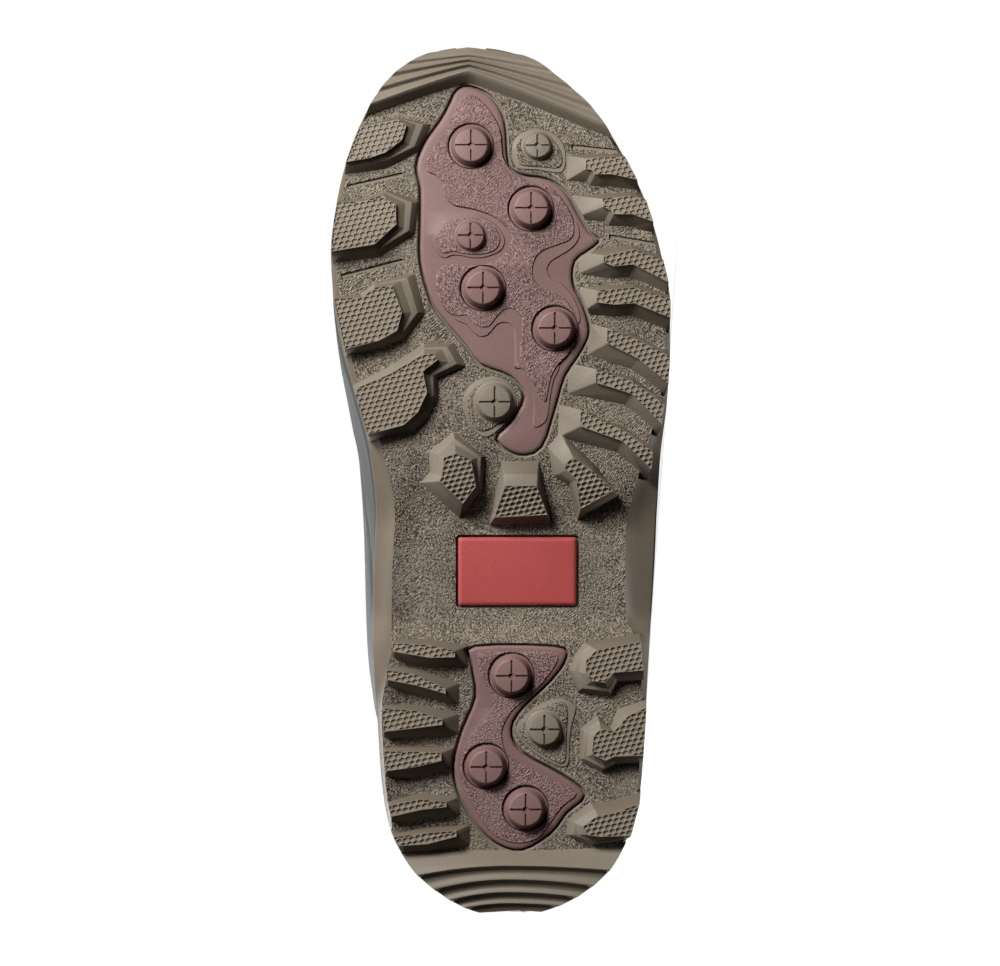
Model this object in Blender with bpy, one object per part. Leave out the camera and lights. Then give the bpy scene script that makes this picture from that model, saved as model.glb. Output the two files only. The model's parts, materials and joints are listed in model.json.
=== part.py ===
"""Pull-on rubber boot for the left foot, lying on its outer side.

The boot is drawn in its own frame: x runs to the inner (medial) side of the foot, y from heel to toe
and z up from the tread. Tables are in millimetres, at the length below. An empty then lays the boot down.

Tread pieces are drawn flat, with z measured from the sole's base surface and negative towards the
ground, and are then draped over the base so that they follow its arch and toe spring.
"""
import math
from collections import namedtuple

import bmesh
import bpy
import numpy as np
from mathutils import Matrix, Vector

# Driving dimensions, in millimetres
SOLE_LENGTH = 312.0
TOE_TIP_X = 13.5
GAP = 0.3
UPPER_WALL = 2.6
FEATHER_INSET = 3.0
LUG_HEIGHT = 6.5
LUG_ROOT = 3.5
LUG_EDGE_INSET = 0.4
RIDGE_EDGE_INSET = 1.2
RIDGE_ROOT = 4.0
CUTTER_REACH = 8.0
PAD_RISE = 1.2
PAD_DEPTH = 1.8
PAD_CHAMFER = 0.5
WELL_RADIUS = 8.3
STUD_FACE_RADIUS = 5.7
STUD_RISE = 5.5
STUD_SIDES = 16
CROSS_WIDTH = 1.3
CROSS_DEPTH = 0.9
PLATE_WIDTH = 43.0
PLATE_LENGTH = 24.0
PLATE_RISE = 0.7
PLATE_DEPTH = 1.6
PLATE_BEVEL = 0.8
PLATE_CENTRE = (-3.3, 123.2)
INSOLE_INSET = 7.4
INSOLE_THICKNESS = 3.0
COLLAR_BAND_HEIGHT = 16.0
COLLAR_BAND_STEP = 1.2
WAIST_BACK = 110.0
WAIST_FRONT = 150.0
CALF_HEIGHT = 250.0

# Fineness of the faceted solids
UPPER_RINGS = 26
UPPER_COLUMNS = 44
SOLE_SECTIONS = 40
INSOLE_SECTIONS = 30
INSOLE_COLUMNS = 5
SOLE_COLUMNS = 5
END_TURN = 0.06
CORNER_ANGLE = 35.0
MM = 0.001

# Plan of the sole: distance of each edge from the heel's middle line
SoleRow = namedtuple("SoleRow", "along medial lateral")
SOLE_ROWS = [SoleRow(*row) for row in (
    (0.0, 0.0, 0.0),
    (2.0, 12.5, 13.0),
    (8.0, 24.0, 26.0),
    (19.0, 36.0, 38.0),
    (31.0, 42.5, 44.5),
    (48.0, 45.5, 48.0),
    (70.0, 47.0, 49.4),
    (96.0, 48.6, 50.9),
    (120.0, 48.5, 52.3),
    (145.0, 47.5, 53.5),
    (165.0, 49.5, 54.6),
    (185.0, 54.5, 57.0),
    (203.0, 59.5, 58.0),
    (220.0, 62.5, 58.0),
    (238.0, 63.5, 54.5),
    (255.0, 61.5, 49.5),
    (272.0, 57.5, 41.5),
    (288.0, 51.0, 31.5),
    (300.0, 43.0, 19.0),
    (307.0, 34.0, 9.5),
    (310.5, 25.5, -0.5),
    (SOLE_LENGTH, TOE_TIP_X, -TOE_TIP_X),
)]

# Side view of the sole: height of the base between the lugs, height of the footbed,
# and how far the base's edges stand in from the plan
HeightRow = namedtuple("HeightRow", "along base footbed inset_medial inset_lateral")
HEIGHT_ROWS = [HeightRow(*row) for row in (
    (0.0, 9.5, 27.0, 1.5, 1.5),
    (18.0, 6.5, 27.0, 2.0, 2.0),
    (70.0, 6.5, 26.5, 2.0, 2.0),
    (97.0, 6.5, 25.0, 4.5, 5.0),
    (107.0, 15.0, 24.0, 7.0, 9.5),
    (138.0, 15.0, 20.5, 7.0, 11.0),
    (156.0, 9.0, 17.5, 6.0, 8.0),
    (170.0, 6.5, 15.5, 4.5, 5.0),
    (200.0, 6.5, 14.5, 2.5, 2.0),
    (238.0, 6.5, 14.5, 2.0, 2.0),
    (262.0, 8.6, 16.6, 2.0, 2.0),
    (287.0, 12.8, 20.5, 2.0, 2.0),
    (SOLE_LENGTH, 18.5, 26.0, 1.5, 1.5),
)]

# Side wall of the sole, from the base's edge to the footbed: share of the height, share of the edge's
# inset, and depth of the groove and lip
WallRow = namedtuple("WallRow", "rise inset step")
WALL_ROWS = [WallRow(*row) for row in (
    (0.0, 1.0, 0.0),
    (0.3, 0.45, 0.0),
    (0.58, 0.05, 0.0),
    (0.62, 0.0, 1.0),
    (0.72, 0.0, 1.0),
    (0.76, 0.0, 0.0),
    (1.0, 0.0, 0.5),
)]

# Rings of the upper from the feather line to the collar: the heel-side and toe-side points of each ring,
# the half widths of its oval, how much it follows the sole's plan and footbed, and the swell that
# hangs over the waist
RingRow = namedtuple("RingRow", "back_y back_z front_y front_z medial lateral plan footbed swell")
RING_ROWS = [RingRow(*row) for row in (
    (3.0, 27.3, 309.0, 25.8, 54.0, 54.0, 1.0, 1.0, 0.0),
    (1.5, 35.0, 310.0, 34.0, 54.0, 54.0, 1.0, 1.0, 1.0),
    (0.5, 45.0, 309.0, 44.0, 57.0, 56.0, 0.9, 0.85, 2.4),
    (0.5, 54.0, 305.0, 53.0, 57.0, 56.5, 0.75, 0.6, 3.0),
    (1.5, 62.0, 297.0, 61.0, 56.5, 57.0, 0.6, 0.4, 1.8),
    (3.5, 70.0, 284.0, 68.5, 56.0, 57.0, 0.48, 0.2, 0.8),
    (6.0, 78.0, 266.0, 76.0, 55.5, 56.5, 0.38, 0.1, 0.3),
    (8.5, 87.0, 245.0, 85.0, 55.0, 56.0, 0.28, 0.0, 0.0),
    (10.5, 97.0, 222.0, 97.0, 54.5, 55.5, 0.2, 0.0, 0.0),
    (11.5, 109.0, 199.0, 113.0, 54.0, 55.0, 0.12, 0.0, 0.0),
    (12.0, 124.0, 179.0, 132.0, 53.0, 54.5, 0.06, 0.0, 0.0),
    (11.5, 143.0, 163.0, 155.0, 52.0, 54.0, 0.0, 0.0, 0.0),
    (10.5, 168.0, 152.0, 183.0, 51.5, 54.0, 0.0, 0.0, 0.0),
    (8.5, 200.0, 146.5, 214.0, 52.0, 55.0, 0.0, 0.0, 0.0),
    (6.0, 238.0, 144.5, 249.0, 53.0, 56.5, 0.0, 0.0, 0.0),
    (3.5, 280.0, 145.5, 288.0, 54.5, 58.5, 0.0, 0.0, 0.0),
    (2.0, 322.0, 147.0, 329.0, 55.5, 60.5, 0.0, 0.0, 0.0),
    (1.5, 356.0, 147.5, 362.0, 56.0, 61.0, 0.0, 0.0, 0.0),
)]
SWELL_MEDIAL = (115.0, 155.0, 198.0, 238.0)

# Bars that run in from the sole's edge, with a smooth ramp at the inner end
Bar = namedtuple("Bar", "side inner_x inner_toe inner_heel knee_x knee_toe knee_heel edge_toe edge_heel "
                        "edge_inset ramp notch")
BARS = [Bar(*row) for row in (
    (-1, 27.5, 270.5, 266.6, 37.0, 271.0, 264.7, 271.0, 262.7, 0.4, 5.0, ((29.7, 266.2), (30.8, 264.7))),
    (-1, 33.5, 256.0, 253.0, 44.0, 257.0, 250.4, 255.5, 247.6, 0.4, 9.0, ((36.3, 251.9), (37.4, 250.4))),
    (-1, 33.8, 235.8, 233.2, 44.5, 238.0, 232.5, 234.0, 226.0, 0.4, 7.0, ((37.5, 231.8),)),
    (-1, 31.3, 223.2, 219.0, 44.6, 224.3, 218.7, 220.3, 213.5, 0.4, 4.0, ((37.9, 218.2),)),
    (-1, 35.0, 210.0, 204.5, 46.0, 205.7, 199.0, 199.8, 190.0, 0.4, 5.0, ()),
    (-1, 31.0, 195.5, 190.5, 43.8, 191.2, 186.5, 182.9, 175.7, 1.4, 8.0, ()),
    (-1, 25.5, 181.0, 175.0, 40.5, 173.7, 169.7, 166.0, 159.6, 3.4, 6.0, ()),
    (1, 19.0, 95.3, 93.0, 28.0, 97.3, 92.8, 98.0, 95.0, 7.5, 3.0, ()),
    (1, 22.3, 81.8, 80.0, 33.0, 87.0, 83.0, 88.4, 85.0, 5.0, 3.0, ()),
    (1, 23.5, 71.0, 69.0, 33.0, 74.0, 67.8, 74.8, 66.5, 2.5, 4.0, ()),
    (1, 23.8, 59.0, 56.2, 33.0, 59.4, 54.0, 59.7, 52.5, 2.3, 3.0, ()),
    (1, 22.0, 41.5, 39.8, 31.0, 42.5, 38.8, 40.6, 36.3, 2.0, 3.0, ()),
    (1, 18.5, 31.3, 29.3, 29.0, 30.6, 26.6, 29.1, 25.9, 1.0, 3.0, ()),
)]

# How far a bar's sides have spread at its root, towards the boot's middle, heel and toe
BAR_SPREAD_INNER = 2.6
BAR_SPREAD_HEEL = 4.6
BAR_SPREAD_TOE = 2.6

# Blocks: each corner of the flat top, the corner of the foot below it, and how wide the ledge between them is
BlockCorner = namedtuple("BlockCorner", "x y foot_x foot_y ledge")
BLOCKS = [[BlockCorner(*corner) for corner in block] for block in (
    ((58.0, 269.0, 58.4, 265.3, 0.0), (53.0, 281.5, 53.6, 282.6, 0.0), (39.5, 284.5, 39.2, 285.8, 0.6),
     (36.3, 282.4, 27.5, 283.2, 1.0), (37.9, 277.0, 31.4, 273.8, 1.0), (44.0, 272.4, 42.9, 267.4, 0.0),
     (49.6, 270.5, 49.9, 266.1, 0.0)),
    ((63.0, 237.0, 63.0, 233.8, 0.0), (62.3, 246.0, 62.6, 246.0, 0.0), (61.0, 254.5, 61.5, 255.5, 0.0),
     (51.5, 255.0, 51.5, 256.6, 0.0), (44.8, 257.1, 43.2, 259.6, 0.8), (40.0, 253.9, 31.6, 255.2, 1.0),
     (39.9, 246.7, 33.2, 243.6, 1.0), (47.6, 239.6, 46.6, 235.2, 0.0)),
    ((62.0, 220.3, 62.3, 221.2, 0.0), (52.0, 220.7, 52.8, 222.2, 0.0), (47.6, 224.2, 47.6, 226.6, 0.6),
     (41.3, 225.0, 33.4, 229.5, 1.0), (37.8, 215.5, 29.5, 215.5, 1.0), (39.6, 208.9, 37.0, 206.4, 0.35),
     (46.2, 205.3, 44.5, 203.4, 0.0), (58.2, 202.3, 58.2, 200.3, 0.0)),
    ((55.0, 188.0, 55.6, 189.8, 0.0), (42.4, 193.4, 42.8, 196.2, 0.0), (30.0, 200.7, 30.1, 204.6, 0.5),
     (26.4, 200.8, 19.6, 204.8, 1.0), (25.2, 198.6, 14.9, 196.5, 1.0), (30.4, 194.5, 25.0, 192.4, 1.0),
     (28.9, 187.0, 24.8, 185.2, 0.4), (32.2, 180.0, 28.3, 178.6, 0.0), (37.2, 175.4, 33.6, 173.2, 0.0),
     (50.0, 172.0, 49.6, 169.9, 0.0)),
    ((23.0, 163.8, 28.4, 166.2, 0.5), (18.8, 165.4, 19.5, 173.3, 1.0), (13.3, 163.2, 8.1, 164.5, 1.0),
     (11.6, 153.6, 9.2, 152.8, 1.0), (16.3, 147.3, 17.4, 142.1, 0.0), (24.6, 155.4, 31.5, 155.0, 0.0),
     (23.6, 157.2, 28.1, 158.6, 0.0)),
    ((1.3, 153.8, 2.4, 162.9, 0.0), (-10.1, 153.8, -10.9, 162.9, 0.0), (-13.9, 143.5, -15.6, 139.9, 0.0),
     (5.0, 142.5, 7.0, 139.6, 0.0)),
    ((-23.0, 164.0, -18.5, 173.6, 0.0), (-29.5, 159.6, -31.2, 161.2, 0.0), (-37.2, 152.0, -39.4, 150.0, 0.0),
     (-25.8, 145.6, -24.8, 141.3, 0.0), (-24.0, 156.0, -21.5, 154.6, 0.0), (-20.4, 159.4, -15.9, 157.2, 0.0),
     (-19.7, 161.2, -14.0, 167.6, 0.0)),
    ((-47.0, 98.4, -47.3, 101.2, 0.0), (-31.2, 95.6, -27.0, 98.0, 0.6), (-27.6, 91.8, -23.8, 93.6, 1.0),
     (-27.4, 87.0, -21.4, 88.3, 1.0), (-29.7, 84.5, -24.6, 80.4, 1.0), (-34.2, 83.9, -36.6, 78.9, 1.0),
     (-37.5, 87.5, -39.2, 83.8, 0.0), (-48.0, 88.3, -48.3, 84.6, 0.0)),
    ((-49.0, 75.0, -49.2, 77.6, 0.0), (-42.5, 72.1, -38.9, 74.2, 0.0), (-37.4, 66.5, -36.3, 67.5, 0.0),
     (-32.7, 67.6, -31.9, 72.2, 0.5), (-30.2, 65.0, -25.4, 67.3, 1.0), (-29.7, 58.4, -25.4, 56.0, 1.0),
     (-34.5, 56.2, -33.4, 51.6, 1.0), (-37.7, 57.7, -38.2, 54.2, 0.0), (-49.0, 58.0, -49.0, 55.3, 0.0)),
    ((-47.2, 41.0, -47.8, 44.8, 0.0), (-38.2, 37.8, -36.2, 41.3, 0.0), (-31.7, 36.8, -29.2, 41.2, 0.0),
     (-26.4, 32.8, -20.9, 34.6, 0.6), (-28.0, 29.8, -20.6, 29.4, 0.8), (-33.0, 29.2, -29.5, 25.4, 0.8),
     (-44.2, 29.6, -42.5, 27.8, 0.0)),
)]

# Ridged ends of the tread: crests and hollows across the sole, from the inner wall to the sole's end
RidgeRow = namedtuple("RidgeRow", "medial_y middle_y lateral_y depth")
TOE_RIDGES = [RidgeRow(*row) for row in (
    (284.7, 296.3, 275.5, -3.0),
    (290.4, 302.4, 282.9, 5.6),
    (294.2, 303.8, 287.4, 3.4),
    (296.8, 304.9, 291.2, 5.0),
    (299.8, 305.8, 295.0, 2.9),
    (302.2, 306.7, 298.3, 4.3),
    (304.4, 307.6, 301.6, 2.5),
    (306.3, 308.6, 304.4, 3.4),
    (308.6, 310.6, 307.6, 1.6),
)]
TOE_RIDGE_MIDDLE_X = 14.2
TOE_RIDGE_BOW = 1.1
HEEL_RIDGES = [RidgeRow(*row) for row in (
    (26.0, 24.6, 26.6, -1.0),
    (15.6, 19.0, 17.4, 6.0),
    (14.9, 18.2, 16.7, 4.3),
    (10.4, 14.0, 11.7, 5.2),
    (9.7, 13.2, 11.0, 3.6),
    (6.4, 9.3, 7.5, 4.4),
    (5.8, 8.6, 6.9, 2.9),
    (3.5, 5.2, 4.3, 3.5),
    (3.0, 4.5, 3.7, 2.2),
    (1.5, 2.4, 1.8, 1.8),
)]
HEEL_RIDGE_BOW = 2.0

# Soft inlays of the tread, as corners of a smooth closed outline
FOREFOOT_PAD = (
    (14.4, 297.0), (6.5, 293.3), (1.8, 284.6), (0.4, 269.2), (-4.3, 264.9), (-13.3, 263.4), (-19.8, 259.1),
    (-23.7, 252.3), (-28.4, 244.4), (-32.0, 241.8), (-29.5, 239.0), (-23.4, 234.3), (-22.6, 226.1),
    (-25.9, 218.9), (-28.4, 209.2), (-25.2, 201.3), (-19.8, 193.0), (-16.2, 181.1), (-11.5, 167.8),
    (-3.6, 165.3), (4.0, 170.4), (-0.7, 176.1), (-5.8, 185.5), (-0.7, 193.4), (10.1, 197.7), (15.5, 204.5),
    (24.4, 214.9), (28.0, 221.4), (31.3, 234.3), (31.3, 247.6), (31.3, 260.2), (32.7, 268.1), (29.8, 276.4),
    (24.1, 284.6), (20.8, 290.8), (18.6, 295.2),
)
HEEL_PAD = (
    (11.9, 96.4), (-16.4, 96.4), (-20.4, 92.8), (-15.1, 84.8), (-5.0, 75.1), (-0.7, 67.2), (-4.3, 58.9),
    (-18.7, 50.7), (-27.0, 43.8), (-20.5, 37.4), (-15.1, 30.4), (-5.0, 24.4), (4.0, 26.6), (11.9, 33.8),
    (17.3, 43.5), (19.4, 53.6), (16.5, 66.1), (11.5, 78.7), (12.9, 90.5),
)
PAD_BENDS = (170.0, 238.0, 246.0, 254.0, 262.0, 270.0, 278.0, 287.0)

# Round studs: separate plugs in the wells of the pads, and studs moulded with the pad or the outsole
Stud = namedtuple("Stud", "x y face_radius foot_radius rise")
FOREFOOT_STUDS = ((13.3, 275.3), (-8.1, 252.7), (9.0, 224.3), (-16.5, 209.9))
HEEL_STUDS = ((-1.1, 86.3), (7.9, 53.9), (-6.1, 38.8))
PAD_STUD = Stud(13.5, 243.0, 4.7, 5.6, 3.6)
OUTSOLE_STUDS = (
    Stud(-10.4, 275.3, 4.3, 5.4, 4.0),
    Stud(4.9, 183.7, 5.7, 7.2, 4.5),
    Stud(-12.8, 67.2, 5.4, 6.5, 4.5),
)

# Finishes: colour, roughness
FINISHES = {
    "slate_rubber": ((0.062, 0.071, 0.075), 0.55),
    "taupe_rubber": ((0.165, 0.138, 0.105), 0.6),
    "mauve_rubber": ((0.22, 0.14, 0.13), 0.55),
    "maroon_rubber": ((0.25, 0.16, 0.145), 0.5),
    "red_rubber": ((0.4, 0.07, 0.068), 0.45),
    "footbed_cloth": ((0.05, 0.052, 0.055), 0.9),
}


def column(rows, name):
    return np.array([getattr(row, name) for row in rows])


def smooth(places, values, at):
    """Read a table between its rows along a smooth curve that never overshoots them."""
    steps = np.diff(values) / np.diff(places)
    before = steps[:-1]
    after = steps[1:]
    same_way = before * after > 0
    inner = np.where(same_way, 2 * before * after / np.where(same_way, before + after, 1), 0)
    slopes = np.concatenate(([steps[0]], inner, [steps[-1]]))
    at = np.clip(at, places[0], places[-1])
    row = np.clip(np.searchsorted(places, at, side="right") - 1, 0, len(steps) - 1)
    width = places[row + 1] - places[row]
    t = (at - places[row]) / width
    start = (1 + 2 * t) * (1 - t) ** 2 * values[row] + t * (1 - t) ** 2 * width * slopes[row]
    end = t * t * (3 - 2 * t) * values[row + 1] + t * t * (t - 1) * width * slopes[row + 1]
    return start + end


def turn_at(along):
    """Angle round the sole, 0 at the heel and pi at the toe, which keeps both ends round."""
    return np.arccos(np.clip(1 - 2 * np.asarray(along) / SOLE_LENGTH, -1, 1))


def sole_edge(side, along):
    """Signed x of the sole's medial (1) or lateral (-1) edge."""
    name = "medial" if side > 0 else "lateral"
    return side * smooth(turn_at(column(SOLE_ROWS, "along")), column(SOLE_ROWS, name), turn_at(along))


def height_at(name, along):
    return smooth(column(HEIGHT_ROWS, "along"), column(HEIGHT_ROWS, name), along)


def window(limits, at):
    """Weight that rises between the first two limits and falls between the last two."""
    rise = np.clip((at - limits[0]) / (limits[1] - limits[0]), 0, 1)
    fall = np.clip((limits[3] - at) / (limits[3] - limits[2]), 0, 1)
    share = np.minimum(rise, fall)
    return share * share * (3 - 2 * share)


def new_object(name, points, faces):
    mesh = bpy.data.meshes.new(name)
    mesh.from_pydata([tuple(point) for point in np.asarray(points) * MM], [], faces)
    piece = bpy.data.objects.new(name, mesh)
    bpy.context.scene.collection.objects.link(piece)
    return piece


def point_outwards(piece):
    shape = bmesh.new()
    shape.from_mesh(piece.data)
    bmesh.ops.recalc_face_normals(shape, faces=shape.faces)
    shape.to_mesh(piece.data)
    shape.free()


def loft(name, rings):
    """Closed solid through rings of equal count, capped at both ends."""
    count = len(rings[0])
    points = np.concatenate(rings)
    faces = [tuple(range(count))[::-1], tuple(range(len(points) - count, len(points)))]
    for ring in range(len(rings) - 1):
        for spot in range(count):
            low = ring * count + spot
            low_next = ring * count + (spot + 1) % count
            faces.append((low, low_next, low_next + count, low + count))
    piece = new_object(name, points, faces)
    point_outwards(piece)
    return piece


def combine(target, tools, operation):
    """Join the tools to the target, or cut them out of it, and remove them."""
    group = bpy.data.collections.new(target.name + "_tools")
    for tool in tools:
        tool.hide_render = True
        tool.display_type = "WIRE"
        group.objects.link(tool)
    modifier = target.modifiers.new(operation.lower(), "BOOLEAN")
    modifier.operation = operation
    modifier.solver = "EXACT"
    modifier.operand_type = "COLLECTION"
    modifier.collection = group
    view = bpy.context.evaluated_depsgraph_get()
    target.data = bpy.data.meshes.new_from_object(target.evaluated_get(view))
    target.modifiers.remove(modifier)
    for tool in tools:
        bpy.data.objects.remove(tool)
    bpy.data.collections.remove(group)


def drape(piece):
    """Move a flat tread piece onto the sole's base surface."""
    for vertex in piece.data.vertices:
        vertex.co.z += float(height_at("base", vertex.co.y / MM)) * MM
    return piece


def side_normals(corners):
    """Outward normal of each side of a closed outline, from its corner to the next."""
    following = np.roll(corners, -1, axis=0)
    area = np.sum(corners[:, 0] * following[:, 1] - following[:, 0] * corners[:, 1])
    sides = following - corners
    normals = np.stack((sides[:, 1], -sides[:, 0]), axis=1) * math.copysign(1, area)
    return normals / np.linalg.norm(normals, axis=1)[:, None]


def offset_sides(corners, distances):
    """Move each side of a closed outline outwards by its own distance and meet them in new corners."""
    corners = np.asarray(corners, float)
    after = side_normals(corners)
    before = np.roll(after, 1, axis=0)
    distances = np.broadcast_to(distances, len(corners))
    earlier = np.roll(distances, 1)
    lean = np.sum(before * after, axis=1)
    out = (before + after) * ((earlier + distances) / 2 / np.maximum(1 + lean, 0.7))[:, None]
    slide = (before - after) * ((earlier - distances) / 2 / np.maximum(1 - lean, 0.15))[:, None]
    return corners + out + slide


def closed_curve(corners, steps):
    """Smooth closed outline through corners."""
    corners = np.asarray(corners, float)
    before = np.roll(corners, 1, axis=0)
    after = np.roll(corners, -1, axis=0)
    second = np.roll(corners, -2, axis=0)
    runs = []
    for step in range(steps):
        t = step / steps
        runs.append(0.5 * (2 * corners + (after - before) * t
                           + (2 * before - 5 * corners + 4 * after - second) * t ** 2
                           + (3 * corners - before - 3 * after + second) * t ** 3))
    return np.stack(runs, axis=1).reshape(-1, 2)


def flat_ring(outline, depth):
    """Ring of tread points at a depth below the base surface."""
    return np.column_stack((outline, np.full(len(outline), -depth)))


def circle(x, y, radius):
    turns = np.linspace(0, 2 * math.pi, STUD_SIDES, endpoint=False)
    return np.column_stack((x + radius * np.cos(turns), y + radius * np.sin(turns)))


def inside_sole(outline):
    """Outline held inside the sole's edges."""
    lowest = sole_edge(-1, outline[:, 1]) + LUG_EDGE_INSET
    highest = sole_edge(1, outline[:, 1]) - LUG_EDGE_INSET
    return np.column_stack((np.clip(outline[:, 0], lowest, highest), outline[:, 1]))


def make_bar(name, bar):
    """Drafted bar with a flat top and a ramp at its inner end."""
    toe_end = abs(sole_edge(bar.side, bar.edge_toe)) - bar.edge_inset
    heel_end = abs(sole_edge(bar.side, bar.edge_heel)) - bar.edge_inset
    top = np.array((
        (bar.inner_x, bar.inner_toe),
        (bar.knee_x, bar.knee_toe),
        (toe_end, bar.edge_toe),
        (heel_end, bar.edge_heel),
        (bar.knee_x, bar.knee_heel),
        *bar.notch[::-1],
        (bar.inner_x, bar.inner_heel),
    )) * (bar.side, 1)
    normals = side_normals(top)
    spread = BAR_SPREAD_INNER * np.clip(-bar.side * normals[:, 0], 0, 1)
    spread += BAR_SPREAD_HEEL * np.clip(-normals[:, 1], 0, 1)
    spread += BAR_SPREAD_TOE * np.clip(normals[:, 1], 0, 1)
    root = offset_sides(top, spread)
    root[[0, -1], 0] -= bar.side * bar.ramp * (LUG_HEIGHT + LUG_ROOT) / LUG_HEIGHT
    rings = [flat_ring(inside_sole(top), LUG_HEIGHT), flat_ring(inside_sole(root), -LUG_ROOT)]
    return drape(loft(name, rings))


def make_block(name, block):
    """Drafted block with a flat top, and a ledge half way down where its corners have one."""
    top = np.column_stack((column(block, "x"), column(block, "y")))
    foot = np.column_stack((column(block, "foot_x"), column(block, "foot_y")))
    ledge = column(block, "ledge")[:, None]
    levels = [(LUG_HEIGHT, 0.0), (-LUG_ROOT, 1.15)]
    if ledge.any():
        levels[1:1] = [(3.5, 0.46 - 0.06 * ledge), (3.2, 0.51 + 0.16 * ledge)]
    rings = [flat_ring(inside_sole(top + (foot - top) * share), depth) for depth, share in levels]
    return drape(loft(name, rings))


def ridged_end(name, rows, middle_x, bow):
    """Stepped block across the toe or heel, from its inner wall to the sole's end."""
    shares = np.array((1.0, 0.75, 0.5, 0.25))
    lines = []
    for row in rows:
        medial_x = sole_edge(1, row.medial_y) - RIDGE_EDGE_INSET
        lateral_x = sole_edge(-1, row.lateral_y) + RIDGE_EDGE_INSET
        medial = np.column_stack((middle_x + (medial_x - middle_x) * shares,
                                  row.middle_y + (row.medial_y - row.middle_y) * shares ** bow))
        lateral = np.column_stack((middle_x + (lateral_x - middle_x) * shares,
                                   row.middle_y + (row.lateral_y - row.middle_y) * shares ** bow))
        lines.append(np.concatenate((medial, ((middle_x, row.middle_y),), lateral[::-1])))
    rings = []
    for row, line in zip(rows, lines):
        rings.append(np.concatenate((flat_ring(line, row.depth), flat_ring(line[::-1], -RIDGE_ROOT))))
    return drape(loft(name, rings))


def moulded_stud(name, stud):
    rings = [
        flat_ring(circle(stud.x, stud.y, stud.face_radius), stud.rise),
        flat_ring(circle(stud.x, stud.y, stud.foot_radius), 0.0),
        flat_ring(circle(stud.x, stud.y, stud.foot_radius), -PAD_DEPTH / 2),
    ]
    return loft(name, rings)


def sole_section(turn):
    """Cross-section of the sole at an angle along it, as points round the section."""
    along = SOLE_LENGTH * (1 - math.cos(turn)) / 2
    end_pull = math.cos(turn) ** 5
    side_pull = math.sin(turn) ** 0.5
    walls = {}
    for side, name in ((1, "inset_medial"), (-1, "inset_lateral")):
        inset = float(height_at(name, along))
        wall = []
        for row in WALL_ROWS:
            reach = inset * row.inset + row.step
            y = along + reach * end_pull
            x = float(sole_edge(side, along)) - side * reach * side_pull
            base = float(height_at("base", y))
            footbed = float(height_at("footbed", y))
            wall.append((x, y, base + (footbed - base) * row.rise))
        walls[side] = np.array(wall)
    across = np.linspace(0, 1, SOLE_COLUMNS + 2)[1:-1, None]
    bottom = walls[1][0] + (walls[-1][0] - walls[1][0]) * across
    top = walls[-1][-1] + (walls[1][-1] - walls[-1][-1]) * across
    return np.concatenate((bottom, walls[-1], top, walls[1][::-1]))


def make_outsole(pad_cutters):
    turns = np.linspace(END_TURN, math.pi - END_TURN, SOLE_SECTIONS)
    outsole = loft("outsole", [sole_section(turn) for turn in turns])
    additions = [ridged_end("toe_ridges", TOE_RIDGES, TOE_RIDGE_MIDDLE_X, TOE_RIDGE_BOW)]
    additions.append(ridged_end("heel_ridges", HEEL_RIDGES, 0.0, HEEL_RIDGE_BOW))
    for number, bar in enumerate(BARS):
        additions.append(make_bar("bar_%d" % number, bar))
    for number, block in enumerate(BLOCKS):
        additions.append(make_block("block_%d" % number, block))
    for number, stud in enumerate(OUTSOLE_STUDS):
        additions.append(drape(moulded_stud("outsole_stud_%d" % number, stud)))
    combine(outsole, additions, "UNION")
    combine(outsole, pad_cutters, "DIFFERENCE")
    return outsole


def bend_ready(piece):
    """Cut a flat tread piece across where the base surface bends under it."""
    shape = bmesh.new()
    shape.from_mesh(piece.data)
    for bend in PAD_BENDS:
        parts = list(shape.verts) + list(shape.edges) + list(shape.faces)
        bmesh.ops.bisect_plane(shape, geom=parts, dist=1e-7, plane_co=(0, bend * MM, 0), plane_no=(0, 1, 0))
    shape.to_mesh(piece.data)
    shape.free()


def make_pad(name, corners, wells, moulded):
    """Inlay with a chamfered face and a well for each plug."""
    outline = closed_curve(corners, 2)
    rings = [
        flat_ring(offset_sides(outline, -PAD_CHAMFER), PAD_RISE),
        flat_ring(outline, PAD_RISE - PAD_CHAMFER),
        flat_ring(outline, -PAD_DEPTH),
    ]
    pad = loft(name, rings)
    if moulded:
        combine(pad, [moulded_stud("pad_stud", moulded)], "UNION")
    drills = []
    for number, (x, y) in enumerate(wells):
        hole = circle(x, y, WELL_RADIUS)
        levels = (CUTTER_REACH, -CUTTER_REACH)
        drills.append(loft("drill_%d" % number, [flat_ring(hole, level) for level in levels]))
    combine(pad, drills, "DIFFERENCE")
    bend_ready(pad)
    return drape(pad)


def pad_cutter(name, corners):
    """Recess for a pad, wider and deeper than the pad by the gap."""
    outline = offset_sides(closed_curve(corners, 2), GAP)
    cutter = loft(name, [flat_ring(outline, CUTTER_REACH), flat_ring(outline, -PAD_DEPTH - GAP)])
    bend_ready(cutter)
    return drape(cutter)


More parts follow.
